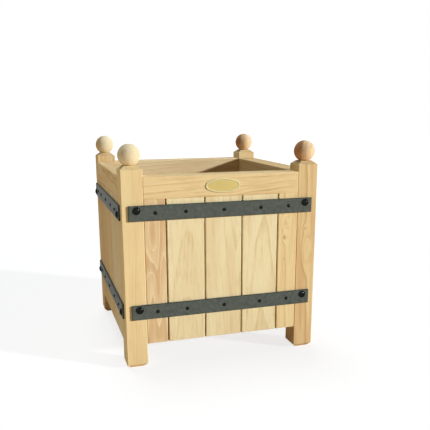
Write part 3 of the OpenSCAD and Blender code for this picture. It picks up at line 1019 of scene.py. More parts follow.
@dataclass(frozen=True)
class CoatedMetal:
    """Painted, plated or polished metal.

    Attributes:
        name: The material's name.
        colour: Its colour as sRGB bytes.
        worn: The colour of its worn edges; near black on the straps, where it is also painted edge shade.
        metallic: 1 for bare or plated metal, 0 for paint.
        roughness: Its middle roughness.
        strength: How uneven its shade is.
        clouds: Slow patches per metre.
        grit: Fine grains per metre.
        relief: Height of the grain, in metres.
        wear: How far the worn colour shows at the edges.
        stretch: How the pattern is stretched along X, Y and Z, as brushing does.
        gloss: Level of its reflection where it is paint.
        rim: Level of its reflection at a grazing angle, where it is metal.
    """

    name: str
    colour: Bytes
    worn: Bytes
    metallic: float
    roughness: float
    strength: float = 0.15
    clouds: float = 40.0
    grit: float = 900.0
    relief: float = 0.00004
    wear: float = 0.5
    stretch: tuple[float, float, float] = (1.0, 1.0, 1.0)
    gloss: float = 0.5
    rim: float = 1.0

    def material(self) -> bpy.types.Material:
        """Builds the material.

        Returns:
            The new material.
        """
        material, w, shader, place = new_material(self.name)
        brushed = w.node("Mapping", {"Vector": place, "Scale": self.stretch}).outputs[0]
        values = {"Vector": brushed, "Clouds": self.clouds, "Grit": self.grit, "Strength": self.strength}
        coat = w.group("coat_mottle", values).outputs
        _, worn = edge_masks(w, place, METAL_WEAR)
        body = w.scaled(tone(self.colour)[:3], coat["Shade"])
        w.feed(shader, {
            "Base Color": w.mix(w.times(worn, self.wear), body, tone(self.worn)),
            "Roughness": w.times(coat["Shade"], self.roughness),
            "Normal": bumped(w, coat["Height"], self.relief, METAL_BUMP),
        })
        shader.inputs["Metallic"].default_value = self.metallic
        shader.inputs["Specular IOR Level"].default_value = self.gloss
        shader.inputs["Specular Tint"].default_value = (self.rim, self.rim, self.rim, 1.0)
        return material


# painted shade: the straps' eased edges turn near black, partly worn paint, partly the shade along their
# edges
STRAP_IRON = CoatedMetal(
    "strap_iron_satin", (89, 96, 91), (24, 23, 20), metallic=0.0, roughness=0.45,
    strength=0.9, clouds=95.0, grit=1400.0, wear=1.0, gloss=0.03,
)
BLACK_FIXINGS = CoatedMetal(
    "fixings_gloss_black", (33, 33, 32), (44, 44, 42), metallic=1.0, roughness=0.13,
    strength=0.3, clouds=160.0, relief=0.000003, wear=0.2, rim=0.2,
)
PLATED_STEEL = CoatedMetal(
    "zinc_plated_steel", (196, 198, 200), (222, 223, 224), metallic=1.0, roughness=0.34,
    strength=0.25, clouds=90.0, grit=1800.0,
)
PLATE_BRASS = CoatedMetal(
    "plate_brass_satin", (187, 165, 104), (192, 187, 146), metallic=1.0, roughness=0.55,
    strength=0.24, clouds=30.0, grit=1300.0, wear=0.9, stretch=(0.5, 1.0, 1.0),
)


# ---- the frame ----


def side_vectors(side: Side) -> tuple[Vector, Vector]:
    """The direction that a side looks and the direction to the right along it."""
    return Vector(side.turn @ np.array([0.0, -1.0, 0.0])), Vector(side.turn @ np.array([1.0, 0.0, 0.0]))


def middle_of(node: str) -> Vector:
    """The middle of a CAD node's box."""
    low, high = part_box(node)
    return (low + high) / 2


def add_timber(
    node: str, shell: Shell, finish: TimberFinish, grain: Vector, outward: Vector,
    look: str = "planed", body: str = "frame",
) -> None:
    """Adds a timber piece in a material of its own.

    Args:
        node: The CAD node that it stands for.
        shell: Its surfaces.
        finish: Its timber.
        grain: The direction along its grain.
        outward: The direction that its outer face looks.
        look: The word for its finish that its name adds to the node's.
        body: The CAD body that it moves with.
    """
    add_piece(node, look, shell, finish.material(node, grain, outward), body)


CORNERS = ("front_left", "front_right", "rear_right", "rear_left")
BOARDS = 5  # boards on each side


@dataclass
class CornerPosts:
    """Four square posts, eased along their edges and bevelled at the top and the foot.

    Attributes:
        ease: Radius of the long edges.
        softening: Radius of the bevels' own edges.
        top_bevel: Width and height of the bevel at the top.
        foot_bevel: Width and height of the bevel at the foot.
        woods: The shade of each post.
        figures: The figure of each post.
    """

    ease: float = 2.4 * MM
    softening: float = 0.9 * MM
    top_bevel: tuple[float, float] = (12 * MM, 9 * MM)
    foot_bevel: tuple[float, float] = (10 * MM, 10 * MM)
    woods: tuple[Wood, ...] = (Wood.HONEY, Wood.TAN, Wood.HONEY, Wood.FAWN)
    figures: tuple[Figure, ...] = (
        Figure(0.090, 0.060, (0.010, 0.004), ring=0.0052, late=0.26, blush=0.35, start=0.7),
        Figure(-0.052, 0.080, (-0.016, 0.006), ring=0.0056, late=0.75, blush=0.80, waves=0.004, start=2.2,
               knots=(Knot(0.0, 0.020, 6 * MM, 0.0, 4.0), Knot(-0.004, 0.085, 3.0 * MM, 0.22, 1.4))),
        Figure(0.070, 0.085, (0.012, -0.008), ring=0.0044, late=0.45, blush=0.45, start=5.1),
        Figure(-0.035, 0.060, (0.020, 0.016), ring=0.0058, late=0.70, blush=0.60, start=3.4),
    )

    def build(self) -> None:
        """Builds the posts."""
        top = BarEnd(self.softening, *self.top_bevel)
        foot = BarEnd(self.softening, *self.foot_bevel)
        for corner, wood, figure in zip(CORNERS, self.woods, self.figures):
            node = f"{corner}_post"
            shell = eased_bar(*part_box(node), 2, self.ease, foot, top)
            outward, _ = side_vectors(Side.REAR if corner.startswith("rear") else Side.FRONT)
            add_timber(node, shell, TimberFinish(wood, figure), UP, outward)


@dataclass
class BallFinials:
    """Four turned balls with a flat seat and a bore for the screw that holds them.

    Attributes:
        bore: Radius of the bore.
        bore_depth: Depth of the bore.
        ease: Width of the bevels at the bore and the seat.
        rows: Rings from the seat to the top.
        places: Points around a ball.
        woods: The shade of each ball.
        figures: The figure of each ball.
    """

    bore: float = 4.25 * MM
    bore_depth: float = 28.25 * MM
    ease: float = 0.5 * MM
    rows: int = 44
    places: int = 96
    woods: tuple[Wood, ...] = (Wood.SHELL, Wood.RUSSET, Wood.RUSSET, Wood.SHELL)
    figures: tuple[Figure, ...] = (
        Figure(0.046, 0.040, (0.05, 0.06), ring=0.0046, late=0.30, blush=0.4, start=1.3,
               knots=(Knot(-0.010, 0.012, 1.6 * MM, 0.3),)),
        # on these three balls the redder wood about the pith covers the left half, its edge where the shade
        # begins: partly the wood's own colour, partly painted shade
        Figure(-0.057, 0.018, (0.04, 0.03), ring=0.0052, late=0.42, blush=0.3, heartwood=0.056, start=2.6),
        Figure(-0.057, 0.018, (0.05, 0.02), ring=0.0050, late=0.5, blush=0.3, heartwood=0.052, start=3.7),
        Figure(-0.057, 0.018, (0.03, 0.02), ring=0.0052, late=0.30, blush=0.0, heartwood=0.054, start=4.9),
    )

    def ball(self, low: Vector, high: Vector) -> Shell:
        """A ball: its bore from the inside out, the flat seat and the sphere up to its top.

        On the sphere the height is the centre's less R cos b and the radius R sin b, for b from the
        seat's edge to half a turn.

        Args:
            low: Lowest corner of the ball's box.
            high: Highest corner.

        Returns:
            The closed shell.
        """
        sphere = (high.x - low.x) / 2
        centre = high.z - sphere
        seat_angle = math.acos((centre - low.z) / sphere)
        swing = np.linspace(seat_angle, math.pi, self.rows)[:-1]
        seat, top, ease = sphere * math.sin(seat_angle), low.z + self.bore_depth, self.ease
        foot = np.array([
            (0.0, top), (self.bore, top), (self.bore, top - ease), (self.bore, low.z + ease),
            (self.bore + ease, low.z), (seat - ease, low.z),
        ])
        radius = np.concatenate([foot[:, 0], sphere * np.sin(swing), [0.0]])
        height = np.concatenate([foot[:, 1], centre - sphere * np.cos(swing), [high.z]])
        shell = turned(radius, height, self.places, End.POLE)
        return shell.moved(np.eye(3), ((low.x + high.x) / 2, (low.y + high.y) / 2, 0.0))

    def build(self) -> None:
        """Builds the balls."""
        outward, _ = side_vectors(Side.FRONT)
        for corner, wood, figure in zip(CORNERS, self.woods, self.figures):
            node = f"{corner}_ball"
            add_timber(node, self.ball(*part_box(node)), TimberFinish(wood, figure), UP, outward, "turned")


@dataclass
class Rails:
    """The top rails, as thick as the posts, and the bottom rails hidden behind the boards.

    Attributes:
        plan: The planter's sizes.
        ease: Radius of the long edges.
        end_ease: Radius of the edges at the shoulders.
        woods: The shade of the top rail on each side.
        figures: The figure of the top rail on each side.
        inner_figure: The figure of the bottom rails.
    """

    plan: Plan
    ease: float = 1.8 * MM
    end_ease: float = 1.2 * MM
    woods: tuple[Wood, ...] = (Wood.FAWN, Wood.TAN, Wood.ROSE, Wood.HONEY)
    figures: tuple[Figure, ...] = (
        Figure(0.055, 0.040, (-0.035, 0.030), ring=0.0050, late=0.46, blush=0.20, wander=0.014, waves=0.007,
               streaks=1.0, start=0.4),
        Figure(0.040, 0.060, (-0.02, 0.03), ring=0.0040, late=0.50, blush=0.50, start=1.9),
        Figure(0.024, 0.050, (0.02, -0.02), ring=0.0046, late=0.40, blush=0.35, start=2.8),
        Figure(-0.016, 0.042, (0.03, 0.02), ring=0.0044, late=0.60, blush=0.70, start=4.4),
    )
    inner_figure: Figure = Figure(0.030, 0.050, (0.02, 0.01), ring=0.0042, late=0.55, blush=0.5, start=6.0)

    def build(self) -> None:
        """Builds the rails."""
        end = BarEnd(self.end_ease)
        for side, wood, figure in zip(Side, self.woods, self.figures):
            outward, along = side_vectors(side)
            for level, its_wood, its_figure, slot in (
                ("top", wood, figure, "planed_wood"), ("bottom", Wood.SAWN, self.inner_figure, "inner_wood")
            ):
                node = f"{side.label}_{level}_rail"
                low, high = (np.array(corner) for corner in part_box(node))
                low[side.bar_axis], high[side.bar_axis] = -self.plan.inner, self.plan.inner
                shell = eased_bar(low, high, side.bar_axis, self.ease, end, end)
                add_timber(node, shell, TimberFinish(its_wood, its_figure), along, outward)


@dataclass
class BoardPanels:
    """Five upright boards on each side, tongued into each other and into the posts.

    Attributes:
        bevel: Bevel along the outer edges.
        bevel_soft: Radius that softens the bevel.
        drawn_in: How far an edge that meets another board is drawn in.
        tongue: Length of the tongue.
        tongue_half: Half the tongue's thickness.
        fit: Clearance around a tongue.
        groove_soft: Radius in the tongue's and the groove's corners.
        end_ease: Radius of the outer edge at a board's ends.
        front: The shade and figure of each front board, from the left.
        left: The shade of each board on the left side, from the rear.
        rest: The shades that the other boards are drawn from.
        seed: Seed of the draws.
    """

    bevel: float = 1.5 * MM
    bevel_soft: float = 0.6 * MM
    drawn_in: float = 1.5 * MM
    tongue: float = 5.0 * MM
    tongue_half: float = 3.0 * MM
    fit: float = 0.2 * MM
    groove_soft: float = 0.35 * MM
    end_ease: float = 1.0 * MM
    seed: int = 41
    front: tuple[tuple[Wood, Figure], ...] = (
        (Wood.ROSE, Figure(0.002, 0.060, (0.010, -0.020), ring=0.0056, late=0.48, blush=0.10, wander=0.005,
                           waves=0.003, ripening=0.5, streaks=0.45, start=0.9,
                           knots=(Knot(-0.006, 0.100, 8 * MM, 0.0, 5.0),
                                  Knot(0.003, -0.060, 4 * MM, 0.0, 12.0)))),
        (Wood.STRAW, Figure(-0.004, 0.060, (0.010, -0.050), ring=0.0052, late=0.26, blush=0.30,
                            wander=0.014, waves=0.006, ripening=1.6, streaks=0.85, start=1.6)),
        (Wood.STRAW, Figure(0.060, 0.046, (-0.050, 0.020), ring=0.0050, late=0.36, blush=0.50, wander=0.014,
                            waves=0.004, ripening=1.6, streaks=0.85, start=2.5,
                            knots=(Knot(0.054, 0.045, 7 * MM, 0.0, 4.0),))),
        (Wood.STRAW, Figure(0.008, 0.056, (0.016, -0.050), ring=0.0052, late=0.38, blush=0.45, wander=0.012,
                            waves=0.006, ripening=1.8, streaks=0.85, start=3.3)),
        (Wood.HONEY, Figure(-0.034, 0.040, (0.020, -0.020), ring=0.0050, late=0.60, blush=0.65, waves=0.006,
                            streaks=0.7, start=4.2, knots=(Knot(-0.011, 0.069, 4.4 * MM, 0.40, 1.3),
                                                           Knot(-0.009, 0.110, 5.0 * MM, 0.12, 1.9),
                                                           Knot(-0.008, 0.007, 1.6 * MM, 0.5)))),
    )
    left: tuple[Wood, ...] = (Wood.TAN, Wood.TAN, Wood.HONEY, Wood.STRAW, Wood.STRAW)
    rest: tuple[Wood, ...] = (Wood.TAN, Wood.AMBER, Wood.TAN, Wood.HONEY)

    def section(
        self, left: float, right: float, outer: float, inner: float, tongue_left: bool
    ) -> tuple[np.ndarray, np.ndarray]:
        """The section of a board, anticlockwise from above.

        It runs along the bevelled outer face, round the tongue on the right, back along the inner
        face and round the groove, or the second tongue, on the left, every corner softened.

        Args:
            left: The body's left edge.
            right: The body's right edge.
            outer: Y of the outer face.
            inner: Y of the inner face.
            tongue_left: Whether the left edge has a tongue.

        Returns:
            The section's points and the wear at each, -1 down in a joint, where shade is painted.
        """
        bevel, soft, tip = self.bevel, self.groove_soft, right + self.tongue
        middle = (outer + inner) / 2
        t0, t1 = middle - self.tongue_half, middle + self.tongue_half
        right_side = [(right, outer + bevel), (right, t0), (tip, t0), (tip, t1), (right, t1), (right, inner)]
        if tongue_left:
            far = left - self.tongue
        else:
            far = left + self.tongue + self.fit
            t0, t1 = t0 - self.fit, t1 + self.fit
        left_side = [(left, inner), (left, t1), (far, t1), (far, t0), (left, t0), (left, outer + bevel)]
        corners = [(left + bevel, outer), (right - bevel, outer), *right_side, *left_side]
        radii = [self.bevel_soft] * 3 + [soft] * 4 + [2 * soft] * 2 + [soft] * 4 + [self.bevel_soft]
        points, wear = rounded_path(corners, radii, steps=3)
        # the points down in the joints, which get the painted shade
        beside = (points[:, 0] < left + self.fit / 2) | (points[:, 0] > right - self.fit / 2)
        joint_shade_mask = beside & (np.abs(points[:, 1] - middle) < self.tongue_half + 2 * self.fit)
        return points, np.where(joint_shade_mask, -1.0, wear)

    def board(self, low: np.ndarray, high: np.ndarray, place: int) -> Shell:
        """A board: its section carried upwards, the outer face drawn in at both ends.

        At a distance s from an end, under the ease e, the outer face is drawn in by
        e - sqrt(e^2 - (e - s)^2), and points that stood further out are brought back to it.

        Args:
            low: Lowest corner of the board's CAD box at the front, tongues included.
            high: Highest corner of that box.
            place: Which board it is, counted from 1 at the left.

        Returns:
            The closed shell.
        """
        left = low[0] + (self.tongue if place == 1 else self.drawn_in)
        right = high[0] - self.tongue - (0.0 if place == BOARDS else self.drawn_in)
        top = high[2] - self.tongue
        points, wear = self.section(left, right, low[1], high[1], place == 1)
        e = self.end_ease
        step = e * (1 - np.cos(np.linspace(0.0, QUARTER, 5)))
        drawn = e - np.sqrt(np.maximum(e**2 - (e - step) ** 2, 0.0))
        height = np.concatenate([low[2] + step, top - step[::-1]])
        inset = np.concatenate([drawn, drawn[::-1]])[:, None]
        rings = np.empty((len(height), len(points), 3))
        rings[..., 0] = points[:, 0]
        rings[..., 1] = np.maximum(points[:, 1], low[1] + inset)
        rings[..., 2] = height[:, None]
        end_wear = (inset > 0) & (points[:, 1] < low[1] + self.bevel)
        return tube(rings, np.where(end_wear, 1.0, wear), End.FLAT)

    def build(self) -> None:
        """Builds the boards of all four sides from the front's sizes."""
        draw = np.random.default_rng(self.seed)
        cuts = (Cut.QUARTER, Cut.RIFT, Cut.FLAT, Cut.RIFT, Cut.QUARTER)
        for side in Side:
            outward, _ = side_vectors(side)
            for i in range(1, BOARDS + 1):
                low, high = (np.array(corner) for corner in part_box(f"front_board_{i}"))
                node = f"{side.label}_board_{i}"
                wood = self.rest[draw.integers(len(self.rest))]
                figure = cuts[draw.integers(len(cuts))].figure(draw)
                if side is Side.FRONT:
                    wood, figure = self.front[i - 1]
                elif side is Side.LEFT:
                    wood = self.left[i - 1]
                shell = self.board(low, high, i).moved(side.turn)
                add_timber(node, shell, TimberFinish(wood, figure), UP, outward)


# ---- iron and fixings ----

# the turn that makes +Z of a fixing look out of the front
FACE_ON = np.array([[1.0, 0.0, 0.0], [0.0, 0.0, -1.0], [0.0, 1.0, 0.0]])
DOME_STEPS = 12


def on_side(shell: Shell, side: Side, x: float, height: float, depth: float) -> Shell:
    """Sets a fixing, drawn about +Z, on a side of the planter.

    Args:
        shell: The fixing, its +Z outwards.
        side: The side.
        x: Its place along the side, as on the front.
        height: Its height.
        depth: Distance of its Z = 0 plane from the planter's middle.

    Returns:
        The shell in its place.
    """
    return shell.moved(FACE_ON, (x, -depth, height)).moved(side.turn)


def dome(radius: float, height: float, rim: float, soft: float) -> tuple[np.ndarray, np.ndarray]:
    """The outline of a domed head, from its flat underside's edge to the top of the dome.

    The dome is part of a sphere of radius R = (r^2 + h^2) / 2h over the rim, where h is the dome's
    own height: at the angle b from the axis it is R sin b out and R (1 - cos b) below the top.

    Args:
        radius: The head's radius.
        height: Its whole height.
        rim: Height of the rim under the dome.
        soft: Radius that softens the rim.

    Returns:
        The radius and the height at each step.
    """
    rise = height - rim
    sphere = (radius**2 + rise**2) / (2 * rise)
    swing = np.linspace(math.asin(radius / sphere), 0.0, DOME_STEPS)
    out, up = sphere * np.sin(swing), height - sphere * (1 - np.cos(swing))
    corners = [(radius / 2, 0.0), (radius, 0.0), (radius, rim), (out[1], up[1])]
    foot, _ = rounded_path(corners, soft, closed=False, steps=3)
    return np.concatenate([foot[1:-1, 0], out[1:]]), np.concatenate([foot[1:-1, 1], up[1:]])


@dataclass
class IronStraps:
    """Two flat straps on each side, their outer edges eased.

    Attributes:
        ease: Radius of the edges.
    """

    ease: float = 1.5 * MM

    def build(self) -> None:
        """Builds the straps."""
        iron = STRAP_IRON.material()
        end = BarEnd(self.ease)
        for side in Side:
            for level in ("lower", "upper"):
                node = f"{side.label}_{level}_strap"
                shell = eased_bar(*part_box(node), side.bar_axis, self.ease, end, end)
                add_piece(node, "rolled", shell, iron)


@dataclass
class Fixings:
    """The strap bolts with their washers and nuts, and the small screws through the straps.

    Attributes:
        plan: The planter's sizes.
        bolt_inset: Distance of a bolt from the outer side of its post.
        offsets: Height of the bolts above the strap's centre line on each side.
        bolt_length: Length of a bolt under its head.
        bolt_radius: Radius of its shank.
        head: Radius, height and rim of a bolt's head, and the radius that softens the rim.
        pitch: Pitch of its thread.
        turn_rows: Rings in each turn of the thread.
        thread_depth: Depth of its thread.
        thread_length: Length of its thread.
        tip: How much thinner than the shank the bolt's end is, and the thread where it starts.
        washer: Inner radius, outer radius and thickness of a washer.
        washer_soft: Radius of its edges.
        nut: Half the width across flats, and the thickness, of a nut.
        nut_face: Share of that half width at which the flat round face ends.
        nut_fall: How steeply the face falls outwards from there, in degrees.
        nut_bevel: Width of the bevel at its bore.
        thread_gap: How much wider than the shank the bore is.
        screw_head: Radius, height and rim of a small screw's head, and the radius that softens the rim.
        screw_radius: Radius of its shank.
        screw_length: Length of the screw under its head.
        screw_point: Radius of the flat end of its point, and the point's length.
    """

    plan: Plan
    bolt_inset: float = 37.5 * MM
    offsets: tuple[float, ...] = (7.5 * MM, -6 * MM, 7.5 * MM, -6 * MM)
    bolt_length: float = 75 * MM
    bolt_radius: float = 4 * MM
    head: tuple[float, ...] = (10 * MM, 5 * MM, 0.8 * MM, 0.3 * MM)
    pitch: float = 1.25 * MM
    turn_rows: int = 6
    thread_depth: float = 0.6 * MM
    thread_length: float = 16 * MM
    tip: tuple[float, float] = (1.6 * MM, 1.2 * MM)
    washer: tuple[float, float, float] = (4.25 * MM, 10 * MM, 1.6 * MM)
    washer_soft: float = 0.25 * MM
    nut: tuple[float, float] = (6.5 * MM, 6.5 * MM)
    nut_face: float = 0.96
    nut_fall: float = 30.0
    nut_bevel: float = 0.4 * MM
    thread_gap: float = 0.1 * MM
    screw_head: tuple[float, ...] = (4.75 * MM, 2.8 * MM, 0.4 * MM, 0.2 * MM)
    screw_radius: float = 2.25 * MM
    screw_length: float = 18 * MM
    screw_point: tuple[float, float] = (0.5 * MM, 3 * MM)

    def bolt(self, places: int = 32) -> Shell:
        """A bolt about +Z, the underside of its head at Z = 0.

        Along the thread the radius at the height h and the angle a is the shank's less the depth
        times a triangle wave of h / pitch - a / full turn, and the tip is a short cone.

        Args:
            places: Points in each ring.

        Returns:
            The closed shell.
        """
        radius, height = dome(*self.head)
        rows = np.arange(0.0, self.thread_length, self.pitch / self.turn_rows)[:, None]
        wave = 2 * np.abs(np.mod(rows / self.pitch - around(places) / (2 * np.pi), 1.0) - 0.5)
        end, start = (self.bolt_radius - drop for drop in self.tip)
        thread = np.minimum(self.bolt_radius - self.thread_depth * wave, start + rows)
        shank = np.concatenate([[self.bolt_radius, self.bolt_radius], radius])[:, None]
        tip = np.array([[0.0], [end]])
        radii = np.concatenate([np.broadcast_to(x, (len(x), places)) for x in (tip, thread, shank)])
        low = -self.bolt_length
        thread_top = low + self.thread_length + self.pitch
        heights = np.concatenate([[low, low], low + rows[:, 0], [thread_top, 0.0], height])
        return turned(radii, heights, places, End.POLE)

    def screw(self, places: int = 28) -> Shell:
        """A small domed screw about +Z, the underside of its head at Z = 0.

        Args:
            places: Points in each ring.

        Returns:
            The closed shell.
        """
        radius, height = dome(*self.screw_head)
        low, r, (flat, taper) = -self.screw_length, self.screw_radius, self.screw_point
        radii = np.concatenate([[0.0, flat, r, r], radius])
        heights = np.concatenate([[low, low, low + taper, 0.0], height])
        return turned(radii, heights, places, End.POLE)

    def ring(self, places: int = 40) -> Shell:
        """A washer about +Z, standing on Z = 0, its edges softened.

        Args:
            places: Points in each ring.

        Returns:
            The closed shell.
        """
        inner, outer, thick = self.washer
        corners = [(inner, 0), (outer, 0), (outer, thick), (inner, thick)]
        path, wear = rounded_path(corners, self.washer_soft, steps=2)
        return turned(path[:, 0], path[:, 1], places, End.RING, wear)

    def hexagon(self, places: int = 48) -> Shell:
        """A nut about +Z, standing on Z = 0.

        At the angle a its side is w / cos a' out, with w half its width and a' the angle from the
        middle of the nearest flat. A cone that falls outwards cuts the corners of both faces.

        Args:
            places: Points in each ring.

        Returns:
            The closed shell.
        """
        half, thick = self.nut
        sixth = math.pi / 3
        side = half / np.cos(np.mod(around(places) + sixth / 2, sixth) - sixth / 2)
        face, bore, soft = half * self.nut_face, self.bolt_radius + self.thread_gap, self.nut_bevel
        drop = (side - face) * math.tan(math.radians(self.nut_fall))
        rows = [
            (bore, soft), (bore + soft, 0.0), (face, 0.0), (side, drop),
            (side, thick - drop), (face, thick), (bore + soft, thick), (bore, thick - soft),
        ]
        radius, height = (np.stack([row[k] * np.ones(places) for row in rows]) for k in (0, 1))
        wear = np.array([0, 0, 1, 1, 1, 1, 0, 0], float)
        return turned(radius, height, places, End.RING, wear)

    def at_bolts(self, shell: Shell, depth: float) -> Shell:
        """Repeats a shell at the sixteen bolts, its Z = 0 plane that far from the middle."""
        x = self.plan.face - self.bolt_inset
        return joined(
            on_side(shell, side, way * x, height + self.offsets[side.value], depth)
            for side in Side for height in self.plan.strap_heights for way in (-1, 1)
        )

    def at_screws(self, shell: Shell) -> Shell:
        """Repeats a shell at the forty small screws, in the middle of each board on each strap.

        Args:
            shell: The screw, its +Z outwards.

        Returns:
            One shell of all the screws.
        """
        tongue = BoardPanels.tongue
        places = []
        for i in range(1, BOARDS + 1):
            low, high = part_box(f"front_board_{i}")
            left = low.x + (tongue if i == 1 else 0.0)
            places.append((left + high.x - tongue) / 2)
        return joined(
            on_side(shell, side, x, height, self.plan.strap_face)
            for side in Side for height in self.plan.strap_heights for x in places
        )

    def build(self) -> None:
        """Builds the fixings."""
        black, zinc = BLACK_FIXINGS.material(), PLATED_STEEL.material()
        strap_face, washer_face = self.plan.strap_face, self.plan.inner - self.washer[2]
        bolts = self.at_bolts(self.bolt(), strap_face)
        add_piece("strap_bolts", "domed", bolts, black)
        add_piece("strap_screws", "domed", self.at_screws(self.screw()), black)
        washers = self.at_bolts(self.ring(), washer_face)
        add_piece("bolt_washers", "plated", washers, zinc)
        nuts = self.at_bolts(self.hexagon(), washer_face - self.nut[1])
        add_piece("bolt_nuts", "plated", nuts, zinc)
        for node in ("finial_screws", "panel_screws", "bearer_screws", "floor_screws"):
            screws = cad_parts[node].data
            screws.materials.clear()
            screws.materials.append(zinc)
            LOG.info("%s: the CAD node, zinc plated", node)


@dataclass
class NamePlate:
    """The bare oval plate on the front rail, with a raised rim.

    Attributes:
        end_radius: Radius of the outline's round ends.
        rim: Width of the rim.
        slope: Width of the slope from the rim down to the field.
        field_drop: How far the field lies below the rim.
        soft: Radius of the rim's edges.
        back_soft: Radius of the edge against the rail.
        worn_above: Share of the thickness above which the rim is worn.
        arc_points: Points along each of the outline's four arcs.
    """

    end_radius: float = 11 * MM
    rim: float = 3.8 * MM
    slope: float = 0.6 * MM
    field_drop: float = 0.9 * MM
    soft: float = 0.4 * MM
    back_soft: float = 0.2 * MM
    worn_above: float = 0.4
    arc_points: int = 28

    def outline(self, half_w: float, half_h: float, inset: np.ndarray) -> np.ndarray:
        """Rings of the oval, drawn in by the insets.

        The oval has two end arcs about (+-e, 0) and two long arcs about (0, -+c), which meet where
        the line through both centres crosses them. Drawing in shortens every radius alike.

        Args:
            half_w: Half the oval's width.
            half_h: Half its height.
            inset: How far each ring is drawn in, of shape (rings,).

        Returns:
            Points of shape (rings, places, 2), anticlockwise.
        """
        end_x, rise = half_w - self.end_radius, half_h - self.end_radius
        drop = (end_x**2 - rise**2) / (2 * rise)
        meet = math.atan2(drop, end_x)
        arcs = []
        for centre, radius, start, stop in (
            ((end_x, 0.0), self.end_radius, -meet, meet),
            ((0.0, -drop), half_h + drop, meet, math.pi - meet),
            ((-end_x, 0.0), self.end_radius, math.pi - meet, math.pi + meet),
            ((0.0, drop), half_h + drop, math.pi + meet, 2 * math.pi - meet),
        ):
            angle = np.linspace(start, stop, self.arc_points, endpoint=False)
            r = radius - inset[:, None]
            arcs.append(np.stack([centre[0] + r * np.cos(angle), centre[1] + r * np.sin(angle)], axis=-1))
        return np.concatenate(arcs, axis=1)

    def build(self) -> None:
        """Builds the plate."""
        low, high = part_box("name_plate")
        thick = high.y - low.y
        inner, soft, field = self.rim, self.soft, thick - self.field_drop
        corners = [
            (2 * soft, 0.0), (0.0, 0.0), (0.0, thick), (inner - self.slope, thick), (inner, field),
            (inner + 2 * self.slope, field),
        ]
        radii = [soft, self.back_soft, 2 * soft, soft, soft, soft]
        path, _ = rounded_path(corners, radii, closed=False)
        inset, height = path[:, 0], path[:, 1]
        oval = self.outline((high.x - low.x) / 2, (high.z - low.z) / 2, inset)
        rings = np.concatenate([oval, np.broadcast_to(height[:, None, None], (*oval.shape[:2], 1))], axis=2)
        on_rim = (height > self.worn_above * thick) & (inset < inner - self.slope / 3)
        wear = np.broadcast_to(on_rim[:, None] * 1.0, oval.shape[:2])
        shell = tube(rings, wear, End.FLAT)
        shell = shell.moved(FACE_ON, ((low.x + high.x) / 2, high.y, (low.z + high.z) / 2))
        add_piece("name_plate", "bare", shell, PLATE_BRASS.material())


# ---- the floor that lifts out ----


@dataclass
class SlattedFloor:
    """The loose floor of slats on two battens, and the two bearers that carry it.

    Attributes:
        slats: Number of slats.
        slat_width: Width of a slat.
        ease: Radius of the edges.
        finish: Its sawn timber, darker than planed partly as painted shade inside the box.
    """

    slats: int = 7
    slat_width: float = 54 * MM
    ease: float = 1.8 * MM
    finish: TimberFinish = TimberFinish(
        Wood.SAWN, Figure(0.030, 0.070, (0.02, 0.01), ring=0.0044, late=0.55, blush=0.5, start=7.0),
        relief=0.25 * MM,
    )

    def bar(self, low: Sequence[float], high: Sequence[float], axis: int) -> Shell:
        """One sawn bar with eased edges."""
        end = BarEnd(self.ease / 2)
        return eased_bar(low, high, axis, self.ease, end, end)

    def build(self) -> None:
        """Builds the slats, battens and bearers."""
        (x0, y0, z0), (x1, y1, z1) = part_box("floor_slats")
        slats = joined(
            self.bar((x0, y, z0), (x1, y + self.slat_width, z1), 0)
            for y in np.linspace(y0, y1 - self.slat_width, self.slats)
        )
        look, slot = "sawn", "inner_wood"
        add_timber("floor_slats", slats, self.finish, Vector((1.0, 0.0, 0.0)), UP, look, "floor")
        for part, body in (("batten", "floor"), ("bearer", "frame")):
            for hand in ("left", "right"):
                node = f"{hand}_floor_{part}"
                bar = self.bar(*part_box(node), 1)
                add_timber(node, bar, self.finish, Vector((0.0, 1.0, 0.0)), UP, look, body)


# ---- the studio ----

WHITE = (1.0, 1.0, 1.0, 1.0)
LAMP_COLOUR = (0.97, 1.0, 1.02)
SENSOR_WIDTH = 36.0  # millimetres


def direction(heading: float, height: float, ahead: float) -> Vector:
    """Works out a direction from two angles.

    Args:
        heading: How far it turns from straight ahead towards +X, in degrees.
        height: How far it rises above the horizon, in degrees.
        ahead: 1 where straight ahead is +Y, and -1 where it is -Y.

    Returns:
        The direction (sin a cos b, ahead cos a cos b, sin b), for the heading a and the height b.
    """
    a, b = math.radians(heading), math.radians(height)
    return Vector((math.sin(a) * math.cos(b), ahead * math.cos(a) * math.cos(b), math.sin(b)))


@dataclass(frozen=True)
class Lamp:
    """A distant soft lamp.

    Attributes:
        name: The lamp's name.
        level: Level of its light on a surface that faces it.
        heading: Its direction round from the front's own, towards +X, in degrees.
        height: Its height above the horizon, in degrees.
        spread: The angle that it fills, in degrees.
    """

    name: str
    level: float
    heading: float
    height: float
    spread: float

    def build(self) -> None:
        """Adds the lamp; a lamp of strength pi lights a white surface that faces it to 1."""
        data = bpy.data.lights.new(self.name, "SUN")
        data.energy = self.level * math.pi
        data.angle = math.radians(self.spread)
        data.color = LAMP_COLOUR
        lamp = in_scene(self.name, data)
        lamp.rotation_mode = "QUATERNION"
        lamp.rotation_quaternion = direction(self.heading, self.height, -1.0).to_track_quat("Z", "Y")


